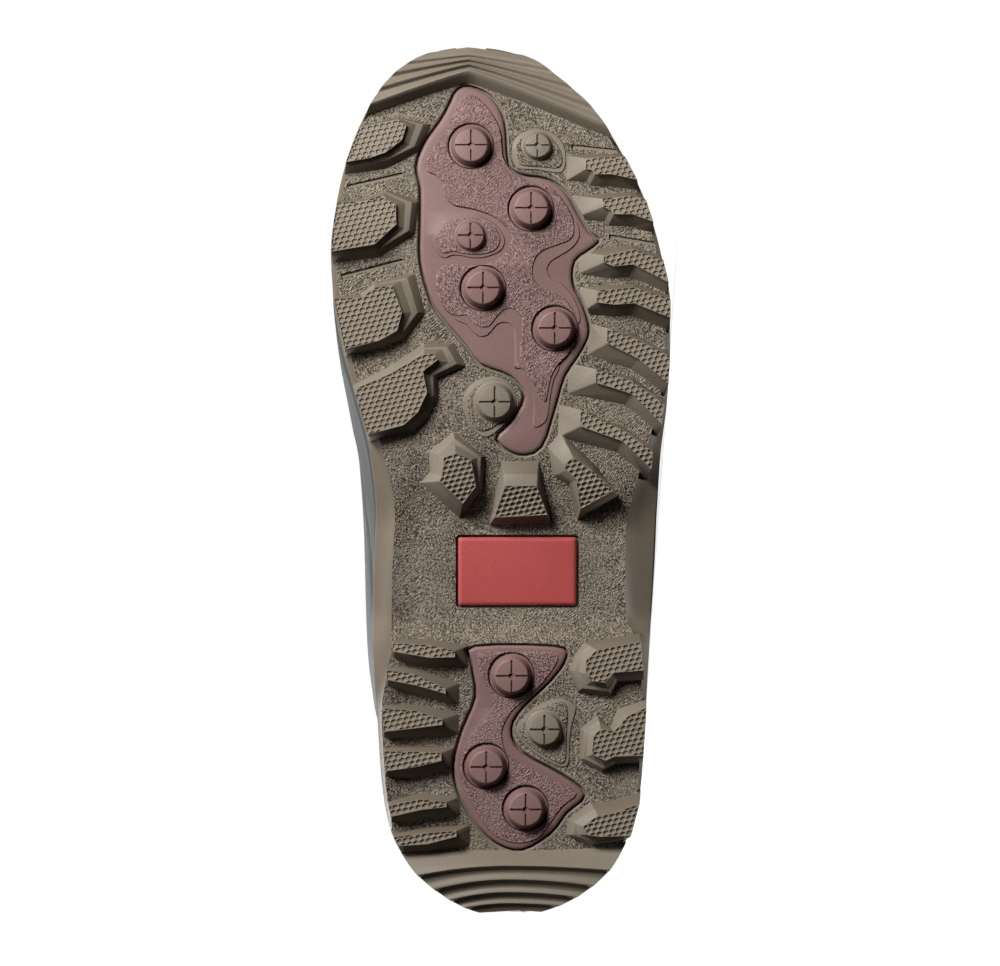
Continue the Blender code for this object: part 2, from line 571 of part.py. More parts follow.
def make_stud(name, place):
    """Plug with a flange in the well, a tapered side and a cross cut in its face."""
    x, y = place
    profile = (
        (WELL_RADIUS - GAP, -PAD_DEPTH),
        (WELL_RADIUS - GAP, 0.1),
        (STUD_FACE_RADIUS + 1.3, 0.3),
        (STUD_FACE_RADIUS + 0.2, STUD_RISE - 0.5),
        (STUD_FACE_RADIUS - 0.3, STUD_RISE),
    )
    stud = loft(name, [flat_ring(circle(0, 0, radius), depth) for radius, depth in profile])
    reach = STUD_FACE_RADIUS * 0.72
    half = CROSS_WIDTH / 2
    plus = ((reach, half), (half, half), (half, reach), (-half, reach), (-half, half), (-reach, half),
            (-reach, -half), (-half, -half), (-half, -reach), (half, -reach), (half, -half), (reach, -half))
    groove = loft("groove", [flat_ring(plus, STUD_RISE + 1), flat_ring(plus, STUD_RISE - CROSS_DEPTH)])
    combine(stud, [groove], "DIFFERENCE")
    seat = float(height_at("base", y))
    for vertex in stud.data.vertices:
        vertex.co.z += (float(height_at("base", y + vertex.co.y / MM)) - seat) * MM
    stud.location = Vector((x, y, seat)) * MM
    return stud


def rectangle(width, length):
    return np.array(((width, length), (-width, length), (-width, -length), (width, -length))) / 2


def make_plate():
    """Bare plate with a bevelled face, seated in the waist."""
    face = rectangle(PLATE_WIDTH - 2 * PLATE_BEVEL, PLATE_LENGTH - 2 * PLATE_BEVEL)
    body = rectangle(PLATE_WIDTH, PLATE_LENGTH)
    plate = loft("waist_plate", [
        flat_ring(face, PLATE_RISE),
        flat_ring(body, PLATE_RISE - PLATE_BEVEL / 2),
        flat_ring(body, -PLATE_DEPTH),
    ])
    seat = float(height_at("base", PLATE_CENTRE[1]))
    plate.location = Vector((PLATE_CENTRE[0], PLATE_CENTRE[1], seat)) * MM
    return plate


def plate_cutter():
    outline = rectangle(PLATE_WIDTH + 2 * GAP, PLATE_LENGTH + 2 * GAP) + PLATE_CENTRE
    cutter = loft("plate_cutter", [flat_ring(outline, CUTTER_REACH), flat_ring(outline, -PLATE_DEPTH - GAP)])
    seat = float(height_at("base", PLATE_CENTRE[1]))
    for vertex in cutter.data.vertices:
        vertex.co.z += seat * MM
    return cutter


def upper_ring(place):
    """Ring of the upper at a place between the table's rows."""
    rows = np.arange(len(RING_ROWS), dtype=float)
    ring = RingRow(*[float(smooth(rows, column(RING_ROWS, name), place)) for name in RingRow._fields])
    turns = np.linspace(0, 2 * math.pi, UPPER_COLUMNS, endpoint=False)
    share = (1 - np.cos(turns)) / 2
    medial = np.sin(turns) >= 0
    along = share * SOLE_LENGTH
    inset = FEATHER_INSET * max(0.0, 1 - place)
    plan_x = np.where(medial, sole_edge(1, along) - inset * np.sin(turns),
                      sole_edge(-1, along) - inset * np.sin(turns))
    oval_x = np.sin(turns) * np.where(medial, ring.medial, ring.lateral)
    y = ring.back_y + (ring.front_y - ring.back_y) * share
    swell = np.where(medial, window(SWELL_MEDIAL, y), 0.0)
    x = ring.plan * plan_x + (1 - ring.plan) * oval_x + ring.swell * swell * np.abs(np.sin(turns)) ** 0.5
    footbed = height_at("footbed", y) + GAP
    chord = footbed[0] + (footbed[UPPER_COLUMNS // 2] - footbed[0]) * share
    z = ring.back_z + (ring.front_z - ring.back_z) * share + ring.footbed * (footbed - chord)
    return np.column_stack((x, y, z))


def make_upper():
    """Hollow boot body, open at the collar and at the feather line, with a stepped collar band."""
    last = len(RING_ROWS) - 1
    band_share = COLLAR_BAND_HEIGHT / (RING_ROWS[-1].back_z - RING_ROWS[-2].back_z)
    places = [*np.linspace(0, last - band_share - 0.05, UPPER_RINGS - 3), last - band_share]
    rings = [upper_ring(place) for place in places]
    for place in (last - band_share + 0.04, last - 0.03, last):
        ring = upper_ring(place)
        middle = ring.mean(axis=0)
        outwards = (ring - middle) * (1, 1, 0)
        outwards /= np.linalg.norm(outwards, axis=1)[:, None]
        step = COLLAR_BAND_STEP if place < last else COLLAR_BAND_STEP / 2
        rings.append(ring + outwards * step)
    faces = []
    for ring in range(len(rings) - 1):
        for spot in range(UPPER_COLUMNS):
            low = ring * UPPER_COLUMNS + spot
            low_next = ring * UPPER_COLUMNS + (spot + 1) % UPPER_COLUMNS
            faces.append((low, low_next, low_next + UPPER_COLUMNS, low + UPPER_COLUMNS))
    upper = new_object("upper", np.concatenate(rings), faces)
    wall = upper.modifiers.new("wall", "SOLIDIFY")
    wall.thickness = UPPER_WALL * MM
    wall.offset = -1
    wall.use_even_offset = True
    return upper


def make_insole():
    """Footbed sheet that follows the top of the outsole inside the upper."""
    rings = []
    for turn in np.linspace(END_TURN, math.pi - END_TURN, INSOLE_SECTIONS):
        along = SOLE_LENGTH * (1 - math.cos(turn)) / 2
        y = along + INSOLE_INSET * math.cos(turn) ** 5
        pull = INSOLE_INSET * math.sin(turn) ** 0.5
        medial_x = float(sole_edge(1, along)) - pull
        lateral_x = float(sole_edge(-1, along)) + pull
        x = np.linspace(medial_x, lateral_x, INSOLE_COLUMNS)
        low = float(height_at("footbed", y)) + GAP
        bottom = np.column_stack((x, np.full_like(x, y), np.full_like(x, low)))
        top = bottom[::-1] + (0, 0, INSOLE_THICKNESS)
        rings.append(np.concatenate((bottom, top)))
    return loft("insole", rings)


def finish(piece, finish_name):
    """Give a piece its rubber or cloth, smooth shading and a sharp edge at each corner."""
    material = bpy.data.materials.get(finish_name)
    if material is None:
        colour, roughness = FINISHES[finish_name]
        material = bpy.data.materials.new(finish_name)
        material.use_nodes = True
        shader = material.node_tree.nodes["Principled BSDF"]
        shader.inputs["Base Color"].default_value = (*colour, 1)
        shader.inputs["Roughness"].default_value = roughness
        shader.inputs["Metallic"].default_value = 0
    piece.data.materials.clear()
    piece.data.materials.append(material)
    piece.data.shade_smooth()
    piece.data.set_sharp_from_angle(angle=math.radians(CORNER_ANGLE))


def points_of(piece):
    return np.array([tuple(piece.location + vertex.co) for vertex in piece.data.vertices])


def lay_down(pieces):
    """Rest the boot on the ball and heel of the sole's outer edge and on the shaft's outer side."""
    sole = points_of(bpy.data.objects["outsole"])
    shaft = points_of(bpy.data.objects["upper"])
    supports = (
        sole[sole[:, 1] > WAIST_FRONT * MM],
        sole[sole[:, 1] < WAIST_BACK * MM],
        shaft[shaft[:, 2] > CALF_HEIGHT * MM],
    )
    up = np.array((1.0, 0.0, 0.0))
    for _ in range(6):
        ball, heel, calf = [group[np.argmin(group @ up)] for group in supports]
        up = np.cross(heel - ball, calf - ball)
        up *= math.copysign(1, up[0]) / np.linalg.norm(up)
    toe_way = np.array((0.0, 1.0, 0.0))
    toe_way -= up * (toe_way @ up)
    toe_way /= np.linalg.norm(toe_way)
    turn = np.array((toe_way, np.cross(up, toe_way), up))
    laid = np.concatenate([points_of(piece) for piece in pieces]) @ turn.T
    low = laid.min(axis=0)
    high = laid.max(axis=0)
    shift = (-(low[0] + high[0]) / 2, -(low[1] + high[1]) / 2, -low[2])
    lay = bpy.data.objects.new("lay", None)
    bpy.context.scene.collection.objects.link(lay)
    lay.matrix_world = Matrix.Translation(shift) @ Matrix(turn.tolist()).to_4x4()
    for piece in pieces:
        piece.parent = lay


def main():
    for leftover in list(bpy.data.objects):
        bpy.data.objects.remove(leftover)
    cutters = [
        pad_cutter("forefoot_cutter", FOREFOOT_PAD),
        pad_cutter("heel_cutter", HEEL_PAD),
        plate_cutter(),
    ]
    finishes = {
        make_upper(): "slate_rubber",
        make_outsole(cutters): "taupe_rubber",
        make_insole(): "footbed_cloth",
        make_pad("forefoot_pad", FOREFOOT_PAD, FOREFOOT_STUDS, PAD_STUD): "mauve_rubber",
        make_pad("heel_pad", HEEL_PAD, HEEL_STUDS, None): "mauve_rubber",
        make_plate(): "red_rubber",
    }
    for place, studs in (("forefoot", FOREFOOT_STUDS), ("heel", HEEL_STUDS)):
        for number, centre in enumerate(studs, start=1):
            finishes[make_stud("%s_stud_%d" % (place, number), centre)] = "maroon_rubber"
    for piece, finish_name in finishes.items():
        finish(piece, finish_name)
    lay_down(list(finishes))


main()
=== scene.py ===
"""Looks of a left pull-on rubber boot that lies on its outer side.

Pieces are drawn in the boot's own frame, in millimetres: x runs to the inner (medial) side of the foot,
y from heel to toe and z up from the tread. The two lug faces of the record's mounts give the turn and
shift that lay each piece on the floor. Tread pieces are drawn flat, with z measured from the sole's base
surface and negative towards the ground, and are then draped over the base.
"""
import json
import math
from collections import namedtuple

import bmesh
import bpy
import numpy as np
from mathutils import Matrix, Vector


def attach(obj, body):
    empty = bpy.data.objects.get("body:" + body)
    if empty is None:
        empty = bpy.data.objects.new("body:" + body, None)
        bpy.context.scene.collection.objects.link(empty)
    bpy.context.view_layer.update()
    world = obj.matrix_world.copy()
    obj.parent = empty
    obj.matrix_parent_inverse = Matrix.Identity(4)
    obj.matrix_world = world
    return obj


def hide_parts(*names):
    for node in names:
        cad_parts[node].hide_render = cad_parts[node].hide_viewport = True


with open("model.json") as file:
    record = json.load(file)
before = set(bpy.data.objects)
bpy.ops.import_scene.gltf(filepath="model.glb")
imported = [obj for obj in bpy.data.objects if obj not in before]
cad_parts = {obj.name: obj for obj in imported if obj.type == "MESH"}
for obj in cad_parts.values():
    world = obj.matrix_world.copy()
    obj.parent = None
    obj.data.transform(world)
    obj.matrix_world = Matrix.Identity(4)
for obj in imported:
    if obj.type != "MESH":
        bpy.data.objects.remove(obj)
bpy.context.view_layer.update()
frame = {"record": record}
BODY = "root"
MM = 0.001

# Sizes that the looks share with the construction, in millimetres
SOLE_LENGTH = 312.0
TOE_TIP_X = 13.5
GAP = 0.3
UPPER_WALL = 2.6
FEATHER_INSET = 3.0
LUG_HEIGHT = 6.5
LUG_EDGE_INSET = 0.4
RIDGE_EDGE_INSET = 0.6
RIDGE_ROOT = 4.0
CUTTER_REACH = 8.0
PAD_RISE = 1.2
PAD_DEPTH = 1.8
WELL_RADIUS = 8.3
STUD_FACE_RADIUS = 5.7
STUD_RISE = 5.5
PLATE_WIDTH = 42.4
PLATE_LENGTH = 24.4
PLATE_GAP = 0.5
PLATE_RISE = 0.7
PLATE_DEPTH = 1.6
PLATE_CENTRE = (-3.3, 123.2)
INSOLE_INSET = 7.4
INSOLE_THICKNESS = 3.0
COLLAR_BAND_HEIGHT = 16.0
COLLAR_BAND_STEP = 1.2
FOREFOOT_MOUNT = (49.0, 213.0)
HEEL_MOUNT = (-42.0, 64.0)

# Sizes of the finer forms
HONEYCOMB_HEIGHT = 0.62
CELL_PITCH = 2.3
CELL_ROW = 1.75
CELL_TILT = math.radians(12.0)
CELL_RIM_SHARE = 0.86
CELL_FLOOR_SHARE = 0.62
CELL_LEAST_SHARE = 0.3
LUG_ROOT = 5.0
LUG_ROUND = 0.35
LUG_SINK = 1.5 * HONEYCOMB_HEIGHT
TERRACE_STEP = 0.5
TERRACE_NARROW = 0.3
TERRACE_WIDE = 0.9
TERRACE_SOFT_WAY = (0.6, 0.8)
RECESS_FLARE = 0.8
PLATE_FLARE = 0.1
PLATE_CORNER = 0.8
SEAT_GAP = 0.65
SLOT_WIDTH = 1.5
SLOT_DEPTH = 0.9
SLOT_CUTTER_RISE = 2.0
CROSS_WIDTH = 0.75
CROSS_DEPTH = 0.8
CROSS_CUTTER_RISE = 1.0
DIMPLE_RADIUS = 1.1
DIMPLE_DEPTH = 1.05
WELL_FLARE = 0.4
LINING_GAP = 0.15
LINING_THICKNESS = 0.6
FOOTBED_EDGE_DROP = 1.4

# Looks of rubber and cloth: noise scales per metre, and heights of relief in metres
GRAIN_SCALE = 1000.0
GRAIN_HEIGHT = 0.00046
GRAIN_STRETCH = 2.0
GRAIN_GAIN = 3.6
GRAIN_RISING = (0.7, 0.0, 0.7)
GRAIN_FALLING = (0.7, 0.0, -0.7)
PATCH_SCALE = 60.0
PATCH_GAIN = 9.0
PATCH_DROP = 3.8
CLOUD_SCALE = 38.0
SPECK_SCALE = 1400.0
RUBBER_BUMP = 0.9
RUBBER_SHINE = 0.25
WEAVE_TURNS = 2 * math.pi / 0.0016
CLOTH_BUMP = 0.6
CLOTH_HEIGHT = 0.0004
CLOTH_ROUGHNESS = 0.95
CLOTH_SHINE = 0.15

# Cloths: scale of the fuzz, shares of threads and fuzz in the tone, shares of the colour in the darkest and
# the lightest tone, and share of the fuzz in the relief
Cloth = namedtuple("Cloth", "fuzz_scale thread_tone fuzz_tone dark light fuzz_relief")
KNIT = Cloth(1800.0, 0.7, 0.4, 0.55, 1.35, 0.5)
WEAVE = Cloth(1500.0, 0.6, 0.5, 0.6, 1.5, 0.6)

# Lamps: the way from the sole's middle in the boot's frame, the distance in metres, an area lamp's width in
# metres or a sun's spread in degrees, and the power
Lamp = namedtuple("Lamp", "name kind way distance spread power")
LAMPS = [Lamp(*row) for row in (
    ("key", "AREA", (0.46, 0.57, -0.68), 0.95, 0.3, 14.8),
    ("rim", "SUN", (0.98, 0.1, -0.1), 0.95, 40.0, 1.6),
    ("bounce", "SUN", (-0.98, 0.0, 0.16), 0.95, 8.0, 2.4),
    ("fill", "AREA", (0.2, -0.5, 0.84), 1.3, 1.2, 24.0),
)]

# Floor, surroundings and view
AMBIENT = 0.015
WHITE = (1.0, 1.0, 1.0, 1.0)
FLOOR_GLOW = 0.8
FLOOR_REACH = 6.0
FLOOR_DARK = (0.4, 0.4, 0.4, 1.0)
FLOOR_LIGHT = (0.44, 0.44, 0.44, 1.0)
VIEW_CENTRE = (2.9, 154.9)
VIEW_PLANE = 13.0
VIEW_DISTANCE = 1500.0
VIEW_TILT = math.radians(0.4)
VIEW_WIDTH = 358.2

# Fineness of the meshes
SOLE_SECTIONS = 150
SOLE_COLUMNS = 36
UPPER_RINGS = 150
UPPER_COLUMNS = 180
BAND_STEP_RINGS = 7
BAND_RINGS = 8
COLLAR_RIM_RINGS = 9
LINING_RINGS = 60
LINING_COLUMNS = 90
FOOTBED_COLUMNS = 21
RIDGE_COLUMNS = 12
RIDGE_STEPS = 6
STUD_SIDES = 64
DIMPLE_SIDES = 20
CURVE_STEPS = 3
BEND_SPACING = 3.0
END_TURN = 0.06
CUT_DISTANCE = 1e-7
WELD_DISTANCE = 1e-5

# How a corner's sides are kept from running away where they fold back or lie in line
MITRE_LEAST = 0.7
SLIDE_LEAST = 0.15

# A lug's face is a wall, and gets the darker taupe of painted shade, where it turns this far from the
# ground, but a ramp, left in its own tone, where it turns to the inner side towards the key lamp
WALL_TURN = -0.88
RAMP_TURN = 0.3

# Plan of the sole: distance of each edge from the heel's middle line
SoleRow = namedtuple("SoleRow", "along medial lateral")
SOLE_ROWS = [SoleRow(*row) for row in (
    (0.0, 0.0, 0.0),
    (2.0, 12.5, 13.0),
    (8.0, 24.0, 26.0),
    (19.0, 36.0, 38.0),
    (31.0, 42.5, 44.5),
    (48.0, 45.5, 48.0),
    (70.0, 47.0, 49.4),
    (96.0, 48.6, 50.9),
    (120.0, 48.5, 52.3),
    (145.0, 47.5, 53.5),
    (165.0, 49.5, 54.6),
    (185.0, 54.5, 57.0),
    (203.0, 59.5, 58.0),
    (220.0, 62.5, 58.0),
    (238.0, 63.5, 54.5),
    (255.0, 61.5, 49.5),
    (272.0, 57.5, 41.5),
    (288.0, 51.0, 31.5),
    (300.0, 43.0, 19.0),
    (307.0, 34.0, 9.5),
    (310.5, 25.5, -0.5),
    (SOLE_LENGTH, TOE_TIP_X, -TOE_TIP_X),
)]

# Side view of the sole: height of the base between the lugs, height of the footbed,
# and how far the base's edges stand in from the plan
HeightRow = namedtuple("HeightRow", "along base footbed inset_medial inset_lateral")
HEIGHT_ROWS = [HeightRow(*row) for row in (
    (0.0, 9.5, 27.0, 1.5, 1.5),
    (18.0, 6.5, 27.0, 2.0, 2.0),
    (70.0, 6.5, 26.5, 2.0, 2.0),
    (97.0, 6.5, 25.0, 7.0, 5.0),
    (107.0, 15.0, 24.0, 7.0, 9.5),
    (138.0, 15.0, 20.5, 7.0, 11.0),
    (156.0, 9.0, 17.5, 6.0, 8.0),
    (170.0, 6.5, 15.5, 4.5, 5.0),
    (200.0, 6.5, 14.5, 2.5, 2.0),
    (238.0, 6.5, 14.5, 2.0, 2.0),
    (262.0, 8.6, 16.6, 2.0, 2.0),
    (287.0, 12.8, 20.5, 2.0, 2.0),
    (SOLE_LENGTH, 18.5, 26.0, 1.5, 1.5),
)]

# Side wall of the sole, from the base's edge to the footbed: share of the height, share of the edge's
# inset, and depth of the groove and lip
WallRow = namedtuple("WallRow", "rise inset step")
WALL_ROWS = [WallRow(*row) for row in (
    (0.0, 1.0, 0.0),
    (0.2, 0.84, 0.0),
    (0.36, 0.62, 0.0),
    (0.48, 0.34, 0.0),
    (0.58, 0.05, 0.0),
    (0.62, 0.0, 1.0),
    (0.72, 0.0, 1.0),
    (0.76, 0.0, 0.0),
    (0.9, 0.0, 0.1),
    (1.0, 0.0, 0.5),
)]

# Rim along the inner side of the heel and waist, where the base comes down towards the ground at its edge
RIM_SPAN = (22.0, 34.0, 132.0, 156.0)
RIM_WIDTH = 10.0
RIM_RISE = 2.8
RIM_BEND = 1.5

# Rings of the upper from the feather line to the collar: the heel-side and toe-side points of each ring,
# the half widths of its oval, how much it follows the sole's plan and footbed, and how far it swells out
# over the inner side of the waist
RingRow = namedtuple("RingRow", "back_y back_z front_y front_z medial lateral plan footbed swell")
RING_ROWS = [RingRow(*row) for row in (
    (3.0, 27.3, 309.0, 25.8, 54.0, 54.0, 1.0, 1.0, 0.0),
    (1.5, 35.0, 310.0, 34.0, 54.0, 54.0, 1.0, 1.0, 1.0),
    (0.5, 45.0, 309.0, 44.0, 57.0, 56.0, 0.9, 0.85, 2.4),
    (0.5, 54.0, 305.0, 53.0, 57.0, 56.5, 0.75, 0.6, 3.0),
    (1.5, 62.0, 297.0, 61.0, 56.5, 57.0, 0.6, 0.4, 1.8),
    (3.5, 70.0, 284.0, 68.5, 56.0, 57.0, 0.48, 0.2, 0.8),
    (6.0, 78.0, 266.0, 76.0, 55.5, 56.5, 0.38, 0.1, 0.3),
    (8.5, 87.0, 245.0, 85.0, 55.0, 56.0, 0.28, 0.0, 0.0),
    (10.5, 97.0, 222.0, 97.0, 54.5, 55.5, 0.2, 0.0, 0.0),
    (11.5, 109.0, 199.0, 113.0, 54.0, 55.0, 0.12, 0.0, 0.0),
    (12.0, 124.0, 179.0, 132.0, 53.0, 54.5, 0.06, 0.0, 0.0),
    (11.5, 143.0, 163.0, 155.0, 52.0, 54.0, 0.0, 0.0, 0.0),
    (10.5, 168.0, 152.0, 183.0, 51.5, 54.0, 0.0, 0.0, 0.0),
    (8.5, 200.0, 146.5, 214.0, 52.0, 55.0, 0.0, 0.0, 0.0),
    (6.0, 238.0, 144.5, 249.0, 53.0, 56.5, 0.0, 0.0, 0.0),
    (3.5, 280.0, 145.5, 288.0, 54.5, 58.5, 0.0, 0.0, 0.0),
    (2.0, 322.0, 147.0, 329.0, 55.5, 60.5, 0.0, 0.0, 0.0),
    (1.5, 356.0, 147.5, 362.0, 56.0, 61.0, 0.0, 0.0, 0.0),
)]
SWELL_MEDIAL = (115.0, 155.0, 198.0, 238.0)

# Places on the upper, in rows of its table: where rings crowd together round the collar band's lower edge,
# where the band's step starts and how long it runs, and how far the lining stays from the upper's two ends
BAND_RING_PLACES = (-0.03, -0.02, 0.04, 0.07)
BAND_STEP_START = -0.015
BAND_STEP_RUN = 0.035
LINING_LOW_END = 0.75
LINING_HIGH_END = 0.16

# Soft folds of the upper: where each runs round the boot, in degrees from the heel by the inner side, the
# height of its two ends and its middle, its half width, and how deep it goes; a ridge has a negative depth
Fold = namedtuple("Fold", "start end start_z middle_z end_z width depth")
FOLDS = [Fold(*row) for row in (
    (95.0, 262.0, 92.0, 116.0, 94.0, 5.0, 2.2),
    (105.0, 250.0, 104.0, 128.0, 107.0, 5.5, -1.2),
    (98.0, 258.0, 117.0, 141.0, 121.0, 5.0, 1.9),
    (112.0, 240.0, 132.0, 155.0, 135.0, 6.0, -0.9),
    (120.0, 236.0, 146.0, 168.0, 149.0, 5.5, 1.2),
    (300.0, 418.0, 98.0, 88.0, 96.0, 5.0, 1.5),
    (306.0, 412.0, 113.0, 104.0, 111.0, 5.5, -0.9),
    (302.0, 415.0, 128.0, 121.0, 126.0, 5.5, 1.3),
    (312.0, 404.0, 146.0, 142.0, 147.0, 6.5, 0.8),
    (72.0, 88.0, 52.0, 47.0, 55.0, 4.0, 1.4),
    (80.0, 97.0, 57.0, 50.0, 52.0, 4.0, 1.2),
    (128.0, 176.0, 72.0, 80.0, 84.0, 5.0, 0.9),
    (188.0, 236.0, 86.0, 80.0, 70.0, 5.0, 0.8),
)]

# Bars that run in from the sole's edge, with a smooth ramp at the inner end
Bar = namedtuple("Bar", "side inner_x inner_toe inner_heel knee_x knee_toe knee_heel edge_toe edge_heel "
                        "edge_inset ramp notch")
BARS = [Bar(*row) for row in (
    (-1, 27.5, 270.5, 266.6, 37.0, 271.0, 264.7, 271.0, 262.7, 0.4, 5.0, ((29.7, 266.2), (30.8, 264.7))),
    (-1, 33.5, 256.0, 253.0, 44.0, 257.0, 250.4, 255.5, 247.6, 0.4, 9.0, ((36.3, 251.9), (37.4, 250.4))),
    (-1, 33.8, 235.8, 233.2, 44.5, 238.0, 232.5, 234.0, 226.0, 0.4, 7.0, ((37.5, 231.8),)),
    (-1, 31.3, 223.2, 219.0, 44.6, 224.3, 218.7, 220.3, 213.5, 0.4, 4.0, ((37.9, 218.2),)),
    (-1, 35.0, 210.0, 204.5, 46.0, 205.7, 199.0, 199.8, 190.0, 0.4, 5.0, ()),
    (-1, 31.0, 195.5, 190.5, 43.8, 191.2, 186.5, 182.9, 175.7, 1.4, 8.0, ()),
    (-1, 25.5, 181.0, 175.0, 40.5, 173.7, 169.7, 166.0, 159.6, 3.4, 6.0, ()),
    (1, 19.0, 95.3, 93.0, 28.0, 97.3, 92.8, 98.0, 95.0, 7.5, 3.0, ()),
    (1, 22.3, 81.8, 80.0, 33.0, 87.0, 83.0, 88.4, 85.0, 5.0, 3.0, ()),
    (1, 23.5, 71.0, 69.0, 33.0, 74.0, 67.8, 74.8, 66.5, 2.5, 4.0, ()),
    (1, 23.8, 59.0, 56.2, 33.0, 59.4, 54.0, 59.7, 52.5, 2.3, 3.0, ()),
    (1, 22.0, 41.5, 39.8, 31.0, 42.5, 38.8, 40.6, 36.3, 2.0, 3.0, ()),
    (1, 18.5, 31.3, 29.3, 29.0, 30.6, 26.6, 29.1, 25.9, 1.0, 3.0, ()),
)]

# Blocks: each corner of the flat top, the corner of the foot below it, and how much of a ledge lies between
BlockCorner = namedtuple("BlockCorner", "x y foot_x foot_y ledge")
BLOCKS = [[BlockCorner(*corner) for corner in block] for block in (
    ((58.0, 269.0, 58.4, 265.3, 0.0), (53.0, 281.5, 53.6, 282.6, 0.0), (39.5, 284.5, 39.2, 285.8, 0.6),
     (36.3, 282.4, 27.5, 283.2, 1.0), (37.9, 277.0, 31.4, 273.8, 1.0), (44.0, 272.4, 42.9, 267.4, 0.0),
     (49.6, 270.5, 49.9, 266.1, 0.0)),
    ((63.0, 237.0, 63.0, 233.8, 0.0), (62.3, 246.0, 62.6, 246.0, 0.0), (61.0, 254.5, 61.5, 255.5, 0.0),
     (51.5, 255.0, 51.5, 256.6, 0.0), (44.8, 257.1, 43.2, 259.6, 0.8), (40.0, 253.9, 31.6, 255.2, 1.0),
     (39.9, 246.7, 33.2, 243.6, 1.0), (47.6, 239.6, 46.6, 235.2, 0.0)),
    ((62.0, 220.3, 62.3, 221.2, 0.0), (52.0, 220.7, 52.8, 222.2, 0.0), (47.6, 224.2, 47.6, 226.6, 0.6),
     (41.3, 225.0, 33.4, 229.5, 1.0), (37.8, 215.5, 29.5, 215.5, 1.0), (39.6, 208.9, 37.0, 206.4, 0.35),
     (46.2, 205.3, 44.5, 203.4, 0.0), (58.2, 202.3, 58.2, 200.3, 0.0)),
    ((55.0, 188.0, 55.6, 189.8, 0.0), (42.4, 193.4, 42.8, 196.2, 0.0), (30.0, 200.7, 30.1, 204.6, 0.5),
     (26.4, 200.8, 19.6, 204.8, 1.0), (25.2, 198.6, 14.9, 196.5, 1.0), (30.4, 194.5, 25.0, 192.4, 1.0),
     (28.9, 187.0, 24.8, 185.2, 0.4), (32.2, 180.0, 28.3, 178.6, 0.0), (37.2, 175.4, 33.6, 173.2, 0.0),
     (50.0, 172.0, 49.6, 169.9, 0.0)),
    ((23.0, 163.8, 28.4, 166.2, 0.5), (18.8, 165.4, 19.5, 173.3, 1.0), (13.3, 163.2, 8.1, 164.5, 1.0),
     (11.6, 153.6, 9.2, 152.8, 1.0), (16.3, 147.3, 17.4, 142.1, 0.0), (24.6, 155.4, 31.5, 155.0, 0.0),
     (23.6, 157.2, 28.1, 158.6, 0.0)),
    ((1.3, 153.8, 2.4, 162.9, 0.0), (-10.1, 153.8, -10.9, 162.9, 0.0), (-13.9, 143.5, -15.6, 139.9, 0.0),
     (5.0, 142.5, 7.0, 139.6, 0.0)),
    ((-23.0, 164.0, -18.5, 173.6, 0.0), (-29.5, 159.6, -31.2, 161.2, 0.0), (-37.2, 152.0, -39.4, 150.0, 0.0),
     (-25.8, 145.6, -24.8, 141.3, 0.0), (-24.0, 156.0, -21.5, 154.6, 0.0), (-20.4, 159.4, -15.9, 157.2, 0.0),
     (-19.7, 161.2, -14.0, 167.6, 0.0)),
    ((-47.0, 98.4, -47.3, 101.2, 0.0), (-31.2, 95.6, -27.0, 98.0, 0.6), (-27.6, 91.8, -23.8, 93.6, 1.0),
     (-27.4, 87.0, -21.4, 88.3, 1.0), (-29.7, 84.5, -24.6, 80.4, 1.0), (-34.2, 83.9, -36.6, 78.9, 1.0),
     (-37.5, 87.5, -39.2, 83.8, 0.0), (-48.0, 88.3, -48.3, 84.6, 0.0)),
    ((-49.0, 75.0, -49.2, 77.6, 0.0), (-42.5, 72.1, -38.9, 74.2, 0.0), (-37.4, 66.5, -36.3, 67.5, 0.0),
     (-32.7, 67.6, -31.9, 72.2, 0.5), (-30.2, 65.0, -25.4, 67.3, 1.0), (-29.7, 58.4, -25.4, 56.0, 1.0),
     (-34.5, 56.2, -33.4, 51.6, 1.0), (-37.7, 57.7, -38.2, 54.2, 0.0), (-49.0, 58.0, -49.0, 55.3, 0.0)),
    ((-47.2, 41.0, -47.8, 44.8, 0.0), (-38.2, 37.8, -36.2, 41.3, 0.0), (-31.7, 36.8, -29.2, 41.2, 0.0),
     (-26.4, 32.8, -20.9, 34.6, 0.6), (-28.0, 29.8, -20.6, 29.4, 0.8), (-33.0, 29.2, -29.5, 25.4, 0.8),
     (-44.2, 29.6, -42.5, 27.8, 0.0)),
)]

# Levels of a bar from its top down: how far its sides have spread towards the boot's middle, heel and toe
BarLevel = namedtuple("BarLevel", "depth inner heel toe")
BAR_LEVELS = [BarLevel(*row) for row in (
    (LUG_HEIGHT, 0.0, 0.0, 0.0),
    (0.0, 1.8, 3.8, 1.6),
    (-LUG_ROOT, 2.6, 5.4, 2.6),
)]

# Levels of a block from its top down: share of the way from the top's corners to the foot's, and what a full
# ledge adds to it
BlockLevel = namedtuple("BlockLevel", "depth share ledge_share")
BLOCK_LEVELS = [BlockLevel(*row) for row in (
    (LUG_HEIGHT, 0.0, 0.0),
    (3.5, 0.46, -0.06),
    (3.2, 0.51, 0.16),
    (0.0, 1.0, 0.0),
    (-LUG_ROOT, 1.15, 0.0),
)]

